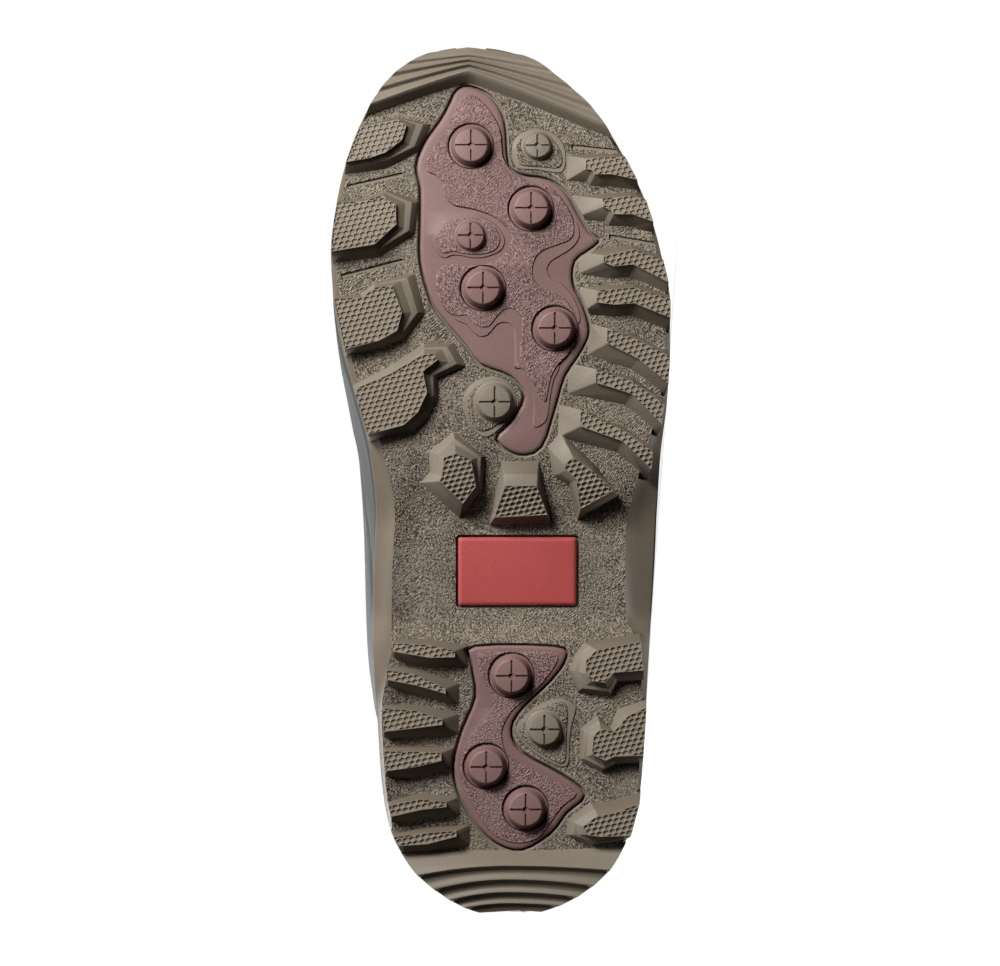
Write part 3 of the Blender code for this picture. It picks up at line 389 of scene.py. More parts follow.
# Ridged ends of the tread: crests and hollows across the sole, from the inner wall to the sole's end
RidgeRow = namedtuple("RidgeRow", "medial_y middle_y lateral_y depth")
TOE_RIDGES = [RidgeRow(*row) for row in (
    (284.7, 296.3, 275.5, -3.0),
    (290.4, 302.4, 282.9, 5.6),
    (294.2, 303.8, 287.4, 3.4),
    (296.8, 304.9, 291.2, 5.0),
    (299.8, 305.8, 295.0, 2.9),
    (302.2, 306.7, 298.3, 4.3),
    (304.4, 307.6, 301.6, 2.5),
    (306.3, 308.6, 304.4, 3.4),
    (309.4, 311.4, 308.6, 0.9),
)]
TOE_RIDGE_MIDDLE_X = 14.2
TOE_RIDGE_BOW = 1.1
HEEL_RIDGES = [RidgeRow(*row) for row in (
    (26.0, 24.6, 26.6, -1.0),
    (15.6, 19.0, 17.4, 6.0),
    (14.4, 17.8, 16.3, 4.5),
    (12.6, 16.2, 14.2, 4.1),
    (10.4, 14.0, 11.7, 5.2),
    (9.3, 12.8, 10.6, 3.8),
    (8.0, 11.2, 9.1, 3.4),
    (6.4, 9.3, 7.5, 4.4),
    (5.6, 8.3, 6.7, 3.0),
    (4.6, 6.9, 5.6, 2.7),
    (3.5, 5.2, 4.3, 3.5),
    (2.7, 4.2, 3.4, 2.3),
    (1.5, 2.4, 1.8, 1.8),
)]
HEEL_RIDGE_BOW = 2.0

# Thin slots in the base, end to end
SLOTS = (
    ((57.5, 260.6), (37.7, 265.2)),
    ((59.7, 228.6), (37.7, 234.3)),
    ((-22.6, 275.3), (-39.9, 273.5)),
    ((-35.9, 242.9), (-52.8, 240.1)),
)

# Soft inlays of the tread, as corners of a smooth closed outline
FOREFOOT_PAD = (
    (14.4, 297.0), (6.5, 293.3), (1.8, 284.6), (0.4, 269.2), (-4.3, 264.9), (-13.3, 263.4), (-19.8, 259.1),
    (-23.7, 252.3), (-28.4, 244.4), (-32.0, 241.8), (-29.5, 239.0), (-23.4, 234.3), (-22.6, 226.1),
    (-25.9, 218.9), (-28.4, 209.2), (-25.2, 201.3), (-19.8, 193.0), (-16.2, 181.1), (-11.5, 167.8),
    (-3.6, 165.3), (4.0, 170.4), (-0.7, 176.1), (-5.8, 185.5), (-0.7, 193.4), (10.1, 197.7), (15.5, 204.5),
    (24.4, 214.9), (28.0, 221.4), (31.3, 234.3), (31.3, 247.6), (31.3, 260.2), (32.7, 268.1), (29.8, 276.4),
    (24.1, 284.6), (20.8, 290.8), (18.6, 295.2),
)
HEEL_PAD = (
    (11.9, 96.4), (-16.4, 96.4), (-20.4, 92.8), (-15.1, 84.8), (-5.0, 75.1), (-0.7, 67.2), (-4.3, 58.9),
    (-18.7, 50.7), (-27.0, 43.8), (-20.5, 37.4), (-15.1, 30.4), (-5.0, 24.4), (4.0, 26.6), (11.9, 33.8),
    (17.3, 43.5), (19.4, 53.6), (16.5, 66.1), (11.5, 78.7), (12.9, 90.5),
)

# Rounded edges of the inlays and the plate: distance in from the outline, and drop from the face
PAD_EDGE = ((1.3, 0.0), (0.7, 0.1), (0.2, 0.45), (0.0, 1.1))
PLATE_EDGE = ((1.5, 0.0), (1.1, 0.05), (0.4, 0.35), (0.0, 0.9))

# Low terraces on the inlays and round the moulded studs: each stands one step over the one before
FOREFOOT_LOW_TERRACES = (
    ((19.0, 213.1), (15.1, 211.3), (12.6, 208.5), (10.1, 207.0), (7.2, 207.7), (4.0, 211.3), (1.1, 212.0),
     (-0.7, 211.3), (-1.8, 209.5), (-2.2, 204.1), (-2.2, 198.4), (-2.4, 195.6), (-6.1, 197.3), (-7.2, 208.1),
     (-4.3, 218.9), (2.9, 220.7), (13.7, 218.9), (20.0, 217.5)),
    ((-18.3, 196.5), (-16.4, 191.9), (-15.3, 186.9), (-14.4, 180.4), (-13.3, 176.8), (-10.4, 174.7),
     (-8.6, 175.4), (-8.8, 180.0), (-8.8, 186.0), (-6.9, 190.5), (-5.0, 194.5), (-7.1, 199.1),
     (-15.1, 200.9)),
    ((-24.1, 248.3), (-25.5, 244.4), (-24.8, 241.2), (-22.3, 238.3), (-19.0, 236.1), (-15.5, 234.0),
     (-14.0, 231.8), (-14.0, 230.0), (-15.1, 228.2), (-19.0, 226.1), (-22.6, 222.1), (-24.6, 218.2),
     (-25.8, 213.5), (-24.1, 211.7), (-18.7, 217.1), (-11.5, 222.5), (-6.1, 227.9), (-6.1, 234.3),
     (-9.7, 238.6), (-16.9, 243.0), (-20.5, 247.6)),
    ((6.8, 248.7), (4.0, 246.6), (2.2, 244.0), (1.1, 241.2), (2.2, 238.3), (4.7, 236.5), (8.6, 235.2),
     (12.6, 235.0), (16.9, 235.8), (20.1, 235.9), (23.0, 234.9), (25.5, 236.9), (27.0, 241.5), (25.9, 245.8),
     (22.3, 249.1), (16.5, 250.5), (11.1, 250.5)),
)
FOREFOOT_HIGH_TERRACES = (
    ((12.6, 294.0), (8.6, 290.8), (5.8, 287.2), (3.6, 283.2), (2.5, 279.3), (2.2, 275.0), (1.5, 270.6),
     (-1.4, 266.4), (-7.9, 262.4), (-14.4, 260.9), (-19.0, 256.6), (-22.8, 249.8), (-23.5, 244.7),
     (-21.9, 241.5), (-17.6, 239.7), (-13.7, 238.3), (-10.8, 236.5), (-9.3, 234.0), (-8.6, 230.4),
     (-9.7, 226.8), (-13.3, 223.9), (-19.0, 221.4), (-22.0, 218.2), (-24.2, 213.9), (-24.9, 208.1),
     (-21.4, 200.9), (-18.0, 197.3), (-15.5, 193.0), (-14.4, 188.3), (-13.5, 184.0), (-11.9, 184.4),
     (-9.7, 188.0), (-7.5, 191.9), (-4.6, 195.9), (-4.0, 202.7), (-4.7, 209.2), (-4.7, 213.5), (-2.9, 216.0),
     (-0.4, 217.1), (1.8, 216.4), (4.0, 214.2), (6.5, 211.0), (9.3, 210.3), (12.9, 212.0), (15.1, 214.6),
     (19.0, 214.4), (22.6, 216.9), (25.2, 221.7), (25.9, 227.1), (24.4, 231.5), (19.0, 232.9), (11.9, 232.2),
     (4.0, 234.3), (0.0, 238.6), (-1.1, 242.2), (0.0, 244.8), (2.9, 248.0), (6.5, 250.5), (13.3, 252.7),
     (18.7, 253.7), (21.6, 255.5), (23.0, 258.0), (23.7, 262.0), (26.2, 264.9), (28.8, 266.0), (29.5, 268.8),
     (27.3, 273.9), (23.7, 278.9), (20.8, 283.9), (19.0, 289.0), (16.5, 292.9)),
    ((6.1, 247.3), (4.0, 245.1), (2.9, 242.8), (3.2, 240.1), (4.7, 237.9), (7.9, 236.6), (12.2, 236.2),
     (16.2, 236.5), (19.8, 237.3), (23.0, 236.6), (24.6, 237.8), (25.6, 241.5), (24.4, 245.4), (21.2, 248.0),
     (16.2, 249.3), (10.8, 249.3)),
)
HEEL_TERRACES = (
    ((9.5, 94.5), (-2.5, 94.8), (-15.5, 94.6), (-17.8, 92.6), (-16.9, 89.9), (-12.2, 83.6), (-6.4, 78.2),
     (-1.1, 73.3), (1.8, 67.9), (2.2, 64.3), (1.1, 59.7), (-1.8, 56.8), (-7.9, 53.0), (-18.0, 48.2),
     (-24.4, 44.0), (-19.4, 39.6), (-13.8, 31.9), (-12.0, 29.4), (-8.3, 27.2), (-3.2, 26.4), (1.1, 27.2),
     (5.0, 29.2), (8.3, 32.8), (11.5, 38.1), (14.4, 43.5), (16.7, 49.2), (17.3, 53.0), (16.6, 57.1),
     (14.8, 61.8), (10.4, 67.9), (6.1, 73.0), (5.4, 76.6), (8.6, 83.7), (10.9, 90.9)),
)
OUTSOLE_LOW_TERRACES = (
    ((-17.3, 279.3), (-20.1, 275.3), (-20.7, 271.0), (-20.3, 267.8), (-18.7, 265.6), (-14.0, 266.0),
     (-9.7, 266.7), (-4.3, 266.9), (-2.4, 268.0), (-1.4, 271.0), (-1.4, 275.3), (-3.2, 278.9), (-7.9, 281.4),
     (-12.6, 281.2)),
    ((-3.0, 186.5), (-3.8, 182.9), (-2.3, 178.3), (0.4, 175.4), (2.9, 174.3), (5.4, 172.2), (8.3, 171.1),
     (11.1, 172.5), (14.0, 175.8), (15.8, 180.4), (16.2, 184.7), (14.4, 189.0), (10.1, 191.9), (4.7, 192.8),
     (0.3, 190.8)),
    ((-23.7, 75.8), (-24.1, 73.7), (-22.6, 67.9), (-21.9, 61.8), (-21.6, 55.0), (-19.0, 53.5), (-14.4, 55.3),
     (-8.6, 58.9), (-3.4, 64.3), (-3.0, 68.3), (-6.0, 71.9), (-11.5, 76.2), (-18.7, 78.0)),
)
OUTSOLE_HIGH_TERRACES = (
    ((-12.6, 280.0), (-15.8, 277.8), (-18.3, 274.6), (-19.4, 271.0), (-19.0, 268.5), (-17.3, 267.2),
     (-11.9, 267.6), (-4.9, 268.2), (-3.3, 271.0), (-3.1, 275.3), (-5.0, 278.5), (-8.6, 280.2)),
    ((-1.4, 185.8), (-2.2, 182.6), (-0.7, 178.6), (4.3, 175.4), (6.1, 174.2), (9.3, 173.2), (11.9, 174.2),
     (13.7, 176.8), (14.4, 181.1), (14.4, 184.7), (12.6, 188.3), (9.0, 190.5), (4.7, 191.2), (0.9, 189.4)),
    ((-20.1, 76.4), (-21.2, 73.7), (-20.8, 65.4), (-20.5, 56.6), (-18.3, 54.8), (-14.0, 56.9), (-8.6, 60.4),
     (-4.4, 64.3), (-4.5, 67.6), (-7.2, 70.8), (-12.6, 74.6), (-17.3, 76.7)),
)

# Round studs: separate plugs in the wells of the pads, and studs moulded with the pad or the outsole
Stud = namedtuple("Stud", "x y face_radius foot_radius rise")
FOREFOOT_STUDS = ((13.3, 275.3), (-8.1, 252.7), (9.0, 224.3), (-16.5, 209.9))
HEEL_STUDS = ((-1.1, 86.3), (7.9, 53.9), (-6.1, 38.8))
PAD_STUD = Stud(13.5, 243.0, 4.7, 5.6, 3.6)
OUTSOLE_STUDS = (
    Stud(-10.4, 275.3, 4.3, 5.4, 4.0),
    Stud(4.9, 183.7, 5.7, 7.2, 4.5),
    Stud(-12.8, 67.2, 5.4, 6.5, 4.5),
)


def boot_to_floor():
    """Turn and shift that lay the boot's own frame on the floor, from the mounts on two lug faces."""
    mounts = {mount["name"]: mount for mount in frame["record"]["mounts"]}
    forefoot = Vector(mounts["forefoot_lug_face"]["pos_m"])
    heel = Vector(mounts["heel_lug_face"]["pos_m"])
    up = -Vector(mounts["heel_lug_face"]["axis"]).normalized()
    along = (forefoot - heel).normalized()
    across = up.cross(along)
    way = (Vector(FOREFOOT_MOUNT) - Vector(HEEL_MOUNT)).normalized()
    medial_way = along * way.x - across * way.y
    toe_way = along * way.y + across * way.x
    turn = Matrix((medial_way, toe_way, up)).transposed()
    shift = forefoot - turn @ Vector((*FOREFOOT_MOUNT, 0.0)) * MM
    return Matrix.Translation(shift) @ turn.to_4x4()


LAY = boot_to_floor()


# Curves and tables

def column(rows, name):
    return np.array([getattr(row, name) for row in rows])


def smooth(places, values, at):
    """Read a table between its rows along a smooth curve that never overshoots them."""
    steps = np.diff(values) / np.diff(places)
    before = steps[:-1]
    after = steps[1:]
    same_way = before * after > 0
    inner = np.where(same_way, 2 * before * after / np.where(same_way, before + after, 1), 0)
    slopes = np.concatenate(([steps[0]], inner, [steps[-1]]))
    at = np.clip(at, places[0], places[-1])
    row = np.clip(np.searchsorted(places, at, side="right") - 1, 0, len(steps) - 1)
    width = places[row + 1] - places[row]
    t = (at - places[row]) / width
    start = (1 + 2 * t) * (1 - t) ** 2 * values[row] + t * (1 - t) ** 2 * width * slopes[row]
    end = t * t * (3 - 2 * t) * values[row + 1] + t * t * (t - 1) * width * slopes[row + 1]
    return start + end


def turn_at(along):
    """Angle round the sole, 0 at the heel and pi at the toe, which keeps both ends round."""
    return np.arccos(np.clip(1 - 2 * np.asarray(along) / SOLE_LENGTH, -1, 1))


def sole_edge(side, along):
    """Signed x of the sole's medial (1) or lateral (-1) edge."""
    name = "medial" if side > 0 else "lateral"
    return side * smooth(turn_at(column(SOLE_ROWS, "along")), column(SOLE_ROWS, name), turn_at(along))


def height_at(name, along):
    return smooth(column(HEIGHT_ROWS, "along"), column(HEIGHT_ROWS, name), along)


def ease(share):
    """Share from 0 to 1 with a soft start and end."""
    return share * share * (3 - 2 * share)


def window(limits, at):
    """Weight that rises between the first two limits and falls between the last two."""
    rise = np.clip((at - limits[0]) / (limits[1] - limits[0]), 0, 1)
    fall = np.clip((limits[3] - at) / (limits[3] - limits[2]), 0, 1)
    return ease(np.minimum(rise, fall))


def side_normals(corners):
    """Outward normal of each side of a closed outline, from its corner to the next."""
    following = np.roll(corners, -1, axis=0)
    area = np.sum(corners[:, 0] * following[:, 1] - following[:, 0] * corners[:, 1])
    sides = following - corners
    normals = np.stack((sides[:, 1], -sides[:, 0]), axis=1) * math.copysign(1, area)
    return normals / np.linalg.norm(normals, axis=1)[:, None]


def offset_sides(corners, distances):
    """Move each side of a closed outline outwards by its own distance and meet them in new corners."""
    corners = np.asarray(corners, float)
    after = side_normals(corners)
    before = np.roll(after, 1, axis=0)
    distances = np.broadcast_to(distances, len(corners))
    earlier = np.roll(distances, 1)
    lean = np.sum(before * after, axis=1)
    out = (before + after) * ((earlier + distances) / 2 / np.maximum(1 + lean, MITRE_LEAST))[:, None]
    slide = (before - after) * ((earlier - distances) / 2 / np.maximum(1 - lean, SLIDE_LEAST))[:, None]
    return corners + out + slide


def closed_curve(corners, steps=CURVE_STEPS):
    """Smooth closed outline through corners."""
    corners = np.asarray(corners, float)
    before = np.roll(corners, 1, axis=0)
    after = np.roll(corners, -1, axis=0)
    second = np.roll(corners, -2, axis=0)
    runs = []
    for step in range(steps):
        t = step / steps
        runs.append(0.5 * (2 * corners + (after - before) * t
                           + (2 * before - 5 * corners + 4 * after - second) * t ** 2
                           + (3 * corners - before - 3 * after + second) * t ** 3))
    return np.stack(runs, axis=1).reshape(-1, 2)


def flat_ring(outline, depth):
    """Ring of tread points at a depth below the base surface."""
    return np.column_stack((outline, np.full(len(outline), -depth)))


def circle(x, y, radius, sides=STUD_SIDES):
    turns = np.linspace(0, 2 * math.pi, sides, endpoint=False)
    return np.column_stack((x + radius * np.cos(turns), y + radius * np.sin(turns)))


# Mesh helpers

def new_object(name, points, faces, finish=None):
    mesh = bpy.data.meshes.new(name)
    mesh.from_pydata([tuple(point) for point in np.asarray(points) * MM], [], faces)
    if finish:
        mesh.materials.append(finish)
    piece = bpy.data.objects.new(name, mesh)
    bpy.context.scene.collection.objects.link(piece)
    return piece


def edit(piece, change):
    """Run a change on the piece's mesh."""
    shape = bmesh.new()
    shape.from_mesh(piece.data)
    change(shape)
    shape.to_mesh(piece.data)
    shape.free()
    return piece


def point_outwards(piece):
    return edit(piece, lambda shape: bmesh.ops.recalc_face_normals(shape, faces=shape.faces))


def loft(name, rings, finish=None):
    """Closed solid through rings of equal count, capped at both ends."""
    count = len(rings[0])
    points = np.concatenate(rings)
    faces = [tuple(range(count))[::-1], tuple(range(len(points) - count, len(points)))]
    for ring in range(len(rings) - 1):
        for spot in range(count):
            low = ring * count + spot
            low_next = ring * count + (spot + 1) % count
            faces.append((low, low_next, low_next + count, low + count))
    return point_outwards(new_object(name, points, faces, finish))


def settle_modifiers(piece):
    """Make the modified shape the piece's own mesh."""
    view = bpy.context.evaluated_depsgraph_get()
    piece.data = bpy.data.meshes.new_from_object(piece.evaluated_get(view))
    piece.modifiers.clear()
    return piece


def combine(target, tools, operation):
    """Join the tools to the target, or cut them out of it, and remove them."""
    group = bpy.data.collections.new(target.name + "_tools")
    for tool in tools:
        group.objects.link(tool)
    modifier = target.modifiers.new(operation.lower(), "BOOLEAN")
    modifier.operation = operation
    modifier.solver = "EXACT"
    modifier.operand_type = "COLLECTION"
    modifier.collection = group
    modifier.material_mode = "TRANSFER"
    settle_modifiers(target)
    for tool in tools:
        bpy.data.objects.remove(tool)
    bpy.data.collections.remove(group)
    return target


def round_edges(piece, width, segments=2, angle=20.0):
    bevel = piece.modifiers.new("round", "BEVEL")
    bevel.width = width * MM
    bevel.segments = segments
    bevel.limit_method = "ANGLE"
    bevel.angle_limit = math.radians(angle)
    return settle_modifiers(piece)


def drape(piece):
    """Move a flat tread piece onto the sole's base surface."""
    count = len(piece.data.vertices)
    places = np.empty(count * 3)
    piece.data.vertices.foreach_get("co", places)
    places = places.reshape(-1, 3)
    places[:, 2] += height_at("base", places[:, 1] / MM) * MM
    piece.data.vertices.foreach_set("co", places.ravel())
    piece.data.update()
    return piece


def bend_ready(piece):
    """Cut a flat tread piece across often enough to follow the base surface's bends."""
    def slice_up(shape):
        for bend in np.arange(BEND_SPACING, SOLE_LENGTH, BEND_SPACING):
            bmesh.ops.bisect_plane(shape, geom=[*shape.verts, *shape.edges, *shape.faces], dist=CUT_DISTANCE,
                                   plane_co=(0, bend * MM, 0), plane_no=(0, 1, 0))
    return edit(piece, slice_up)


def dress(piece, replaced=(), corner_angle=32.0):
    """Lay a finished piece on the floor, shade it, and tie it to the boot's body."""
    piece.data.transform(LAY)
    piece.data.shade_smooth()
    piece.data.set_sharp_from_angle(angle=math.radians(corner_angle))
    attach(piece, BODY)
    if replaced:
        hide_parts(*replaced)
    return piece


# Tread forms

def inside_sole(outline):
    """Outline held inside the sole's edges."""
    lowest = sole_edge(-1, outline[:, 1]) + LUG_EDGE_INSET
    highest = sole_edge(1, outline[:, 1]) - LUG_EDGE_INSET
    return np.column_stack((np.clip(outline[:, 0], lowest, highest), outline[:, 1]))


def bar_rings(bar):
    """Rings of a bar from its top down, with a ramp at its inner end."""
    toe_end = abs(sole_edge(bar.side, bar.edge_toe)) - bar.edge_inset
    heel_end = abs(sole_edge(bar.side, bar.edge_heel)) - bar.edge_inset
    corners = np.array((
        (bar.inner_x, bar.inner_toe),
        (bar.knee_x, bar.knee_toe),
        (toe_end, bar.edge_toe),
        (heel_end, bar.edge_heel),
        (bar.knee_x, bar.knee_heel),
        *bar.notch[::-1],
        (bar.inner_x, bar.inner_heel),
    )) * (bar.side, 1)
    normals = side_normals(corners)
    to_middle = np.clip(-bar.side * normals[:, 0], 0, 1)
    to_heel = np.clip(-normals[:, 1], 0, 1)
    to_toe = np.clip(normals[:, 1], 0, 1)
    rings = []
    for level in BAR_LEVELS:
        outline = offset_sides(corners, level.inner * to_middle + level.heel * to_heel + level.toe * to_toe)
        outline[[0, -1], 0] -= bar.side * bar.ramp * (LUG_HEIGHT - level.depth) / LUG_HEIGHT
        rings.append(flat_ring(inside_sole(outline), level.depth))
    return rings


def block_rings(block):
    """Rings of a block from its top down, with a ledge half way where its corners have one."""
    top = np.column_stack((column(block, "x"), column(block, "y")))
    foot = np.column_stack((column(block, "foot_x"), column(block, "foot_y")))
    ledge = column(block, "ledge")[:, None]
    rings = []
    for level in BLOCK_LEVELS:
        share = level.share + level.ledge_share * ledge
        rings.append(flat_ring(inside_sole(top + (foot - top) * share), level.depth))
    return rings


def all_lug_rings():
    """Rings of every bar and block of the tread."""
    return [bar_rings(bar) for bar in BARS] + [block_rings(block) for block in BLOCKS]


def ridged_end(name, rows, middle_x, bow, finish):
    """Rippled block across the toe or heel, from its inner wall to the sole's end."""
    shares = np.linspace(1, 0, RIDGE_COLUMNS, endpoint=False)
    places = np.arange(len(rows), dtype=float)
    rings = []
    for place in np.linspace(0, len(rows) - 1, RIDGE_STEPS * (len(rows) - 1) + 1):
        row = RidgeRow(*[float(smooth(places, column(rows, field), place)) for field in RidgeRow._fields])
        halves = []
        for side, end_y in ((1, row.medial_y), (-1, row.lateral_y)):
            end_x = sole_edge(side, end_y) - side * RIDGE_EDGE_INSET
            halves.append(np.column_stack((middle_x + (end_x - middle_x) * shares,
                                           row.middle_y + (end_y - row.middle_y) * shares ** bow)))
        line = np.concatenate((halves[0], ((middle_x, row.middle_y),), halves[1][::-1]))
        rings.append(np.concatenate((flat_ring(line, row.depth), flat_ring(line[::-1], -RIDGE_ROOT))))
    return drape(loft(name, rings, finish))


def stepped(name, outline, profile, finish):
    """Solid whose outline moves out by a distance at each depth of its profile."""
    return loft(name, [flat_ring(offset_sides(outline, out), depth) for out, depth in profile], finish)


def turned(name, place, profile, finish):
    """Round solid with a radius at each depth of its profile."""
    return loft(name, [flat_ring(circle(*place, radius), depth) for radius, depth in profile], finish)


def terrace(name, corners, level, finish):
    """Low plate with a steep edge towards the heel and the outer side and a soft one towards the toe."""
    outline = closed_curve(corners)
    soft = np.clip(side_normals(outline) @ TERRACE_SOFT_WAY, 0, 1)
    run = TERRACE_NARROW + (TERRACE_WIDE - TERRACE_NARROW) * soft
    profile = ((-run, level), (0.0, level - TERRACE_STEP), (0.0, level - 3 * TERRACE_STEP))
    return stepped(name, outline, profile, finish)


def cross_cutters(x, y, reach, face):
    """Two crossed slots and a round dimple that are cut into a stud's face."""
    half = CROSS_WIDTH / 2
    bar = np.array(((reach, half), (-reach, half), (-reach, -half), (reach, -half)))
    shapes = (
        (bar + (x, y), CROSS_DEPTH),
        (bar[:, ::-1] + (x, y), CROSS_DEPTH),
        (circle(x, y, DIMPLE_RADIUS, DIMPLE_SIDES), DIMPLE_DEPTH),
    )
    cutters = []
    for number, (outline, deep) in enumerate(shapes):
        rings = [flat_ring(outline, face + CROSS_CUTTER_RISE), flat_ring(outline, face - deep)]
        cutters.append(loft("cross_%d" % number, rings))
    return cutters


def moulded_stud(name, stud, seat, finish):
    """Stud with a rounded face and a cross, standing on a terrace."""
    drop = stud.rise - seat
    profile = (
        (stud.face_radius - 0.5, stud.rise),
        (stud.face_radius - 0.15, stud.rise - 0.1),
        (stud.face_radius, stud.rise - 0.4),
        (stud.foot_radius - 0.2, stud.rise - 0.9 * drop),
        (stud.foot_radius + 0.4, seat),
        (stud.foot_radius + 0.4, -PAD_DEPTH / 2),
    )
    piece = turned(name, (stud.x, stud.y), profile, finish)
    return combine(piece, cross_cutters(stud.x, stud.y, stud.face_radius - 0.2, stud.rise), "DIFFERENCE")


def recess(name, outline, floor, flare, finish):
    """Cutter for an inlay's seat, with its upper edge flared."""
    profile = (
        (SEAT_GAP + flare, CUTTER_REACH),
        (SEAT_GAP + flare, 0.1),
        (SEAT_GAP + 0.35 * flare, -0.3 * flare),
        (SEAT_GAP, -flare),
        (SEAT_GAP, floor),
    )
    return stepped(name, outline, profile, finish)


def plate_outline(inset):
    """The plate's outline with its round corners, moved in by an inset."""
    width = PLATE_WIDTH / 2 - inset - PLATE_CORNER
    length = PLATE_LENGTH / 2 - inset - PLATE_CORNER
    turns = np.linspace(0, math.pi / 2, 5)
    outline = []
    for quarter, (way_x, way_y) in enumerate(((1, 1), (-1, 1), (-1, -1), (1, -1))):
        for turn in turns + quarter * math.pi / 2:
            outline.append((width * way_x + PLATE_CORNER * math.cos(turn),
                            length * way_y + PLATE_CORNER * math.sin(turn)))
    return np.array(outline) + PLATE_CENTRE


def inset_pulls(turn):
    """Shares of an inset that go along and across the sole, so that it stays even round the ends."""
    return math.cos(turn) ** 5, math.sin(turn) ** 0.5


def sole_section(turn):
    """Cross-section of the sole at an angle along it: base, outer wall, footbed and inner wall."""
    along = SOLE_LENGTH * (1 - math.cos(turn)) / 2
    end_pull, side_pull = inset_pulls(turn)
    rim = RIM_RISE * float(window(RIM_SPAN, along))
    walls = {}
    for side, name in ((1, "inset_medial"), (-1, "inset_lateral")):
        reach = float(height_at(name, along)) * column(WALL_ROWS, "inset") + column(WALL_ROWS, "step")
        y = along + reach * end_pull
        x = float(sole_edge(side, along)) - side * reach * side_pull
        base = height_at("base", y) - (rim if side > 0 else 0.0)
        z = base + (height_at("footbed", y) - base) * column(WALL_ROWS, "rise")
        walls[side] = np.column_stack((x, y, z))
    across = np.linspace(0, 1, SOLE_COLUMNS + 2)[1:-1, None]
    bottom = walls[1][0] + (walls[-1][0] - walls[1][0]) * across
    bottom[:, 2] += rim * (1 - across[:, 0])
    into_rim = np.clip(1 - (walls[1][0, 0] - bottom[:, 0]) / RIM_WIDTH, 0, 1)
    bottom[:, 2] -= rim * into_rim ** RIM_BEND
    top = walls[-1][-1] + (walls[1][-1] - walls[-1][-1]) * across
    return np.concatenate((bottom, walls[-1], top, walls[1][::-1]))


def shade_walls(lug, finish):
    """Paint shade on a lug's steep sides with a darker finish, but not on the ramps that face the inner
    side.
    """
    lug.data.materials.append(finish)
    for face in lug.data.polygons:
        face.material_index = int(face.normal.z > WALL_TURN and face.normal.x < RAMP_TURN)
    return lug


def make_outsole(grained, smooth_finish, painted_shade_finish):
    """Sole with its lugs, rippled ends, moulded studs and slots, and the seats of the inlays."""
    turns = np.linspace(END_TURN, math.pi - END_TURN, SOLE_SECTIONS)
    outsole = loft("outsole_tread", [sole_section(turn) for turn in turns], grained)
    outsole.data.materials.append(smooth_finish)
    outsole.data.materials.append(painted_shade_finish)
    # The finish of a face goes by where its corners lie in the sole's sections: the flanks of the side walls
    # get the darker taupe of painted shade
    around = 2 * (SOLE_COLUMNS + len(WALL_ROWS))
    base_spots = {*range(SOLE_COLUMNS + 1), around - 1}
    flank_rows = int(np.count_nonzero(column(WALL_ROWS, "inset")))
    flank_spots = {*range(SOLE_COLUMNS, SOLE_COLUMNS + flank_rows), *range(around - flank_rows, around)}
    for face in outsole.data.polygons:
        spots = {corner % around for corner in face.vertices}
        if spots <= flank_spots:
            face.material_index = 2
        elif not spots <= base_spots:
            face.material_index = 1
    additions = [
        ridged_end("toe_ridges", TOE_RIDGES, TOE_RIDGE_MIDDLE_X, TOE_RIDGE_BOW, smooth_finish),
        ridged_end("heel_ridges", HEEL_RIDGES, 0.0, HEEL_RIDGE_BOW, smooth_finish),
    ]
    for number, rings in enumerate(all_lug_rings()):
        rings[0][:, 2] += LUG_SINK
        lug = round_edges(loft("lug_%d" % number, rings, smooth_finish), LUG_ROUND)
        # The lug's steep sides get the darker taupe of painted shade
        additions.append(drape(shade_walls(lug, painted_shade_finish)))
    for number, corners in enumerate(OUTSOLE_LOW_TERRACES):
        additions.append(drape(terrace("low_%d" % number, corners, TERRACE_STEP, smooth_finish)))
    for number, corners in enumerate(OUTSOLE_HIGH_TERRACES):
        additions.append(drape(terrace("high_%d" % number, corners, 2 * TERRACE_STEP, grained)))
    for number, stud in enumerate(OUTSOLE_STUDS):
        additions.append(drape(moulded_stud("moulded_%d" % number, stud, 2 * TERRACE_STEP, smooth_finish)))
    combine(outsole, additions, "UNION")
    cutters = []
    for name, corners in (("forefoot_seat", FOREFOOT_PAD), ("heel_seat", HEEL_PAD)):
        cutter = recess(name, closed_curve(corners), -PAD_DEPTH - GAP, RECESS_FLARE, smooth_finish)
        cutters.append(drape(bend_ready(cutter)))
    plate_seat = plate_outline(-PLATE_GAP / 2)
    cutters.append(drape(recess("plate_seat", plate_seat, -PLATE_DEPTH - GAP, PLATE_FLARE, smooth_finish)))
    for number, (start, end) in enumerate(SLOTS):
        run = np.subtract(end, start)
        side = np.array((-run[1], run[0])) / np.linalg.norm(run) * SLOT_WIDTH / 2
        outline = np.array((start + side, end + side, end - side, start - side))
        rings = [flat_ring(outline, SLOT_CUTTER_RISE), flat_ring(outline, -SLOT_DEPTH)]
        cutters.append(drape(loft("slot_%d" % number, rings, smooth_finish)))
    return combine(outsole, cutters, "DIFFERENCE")


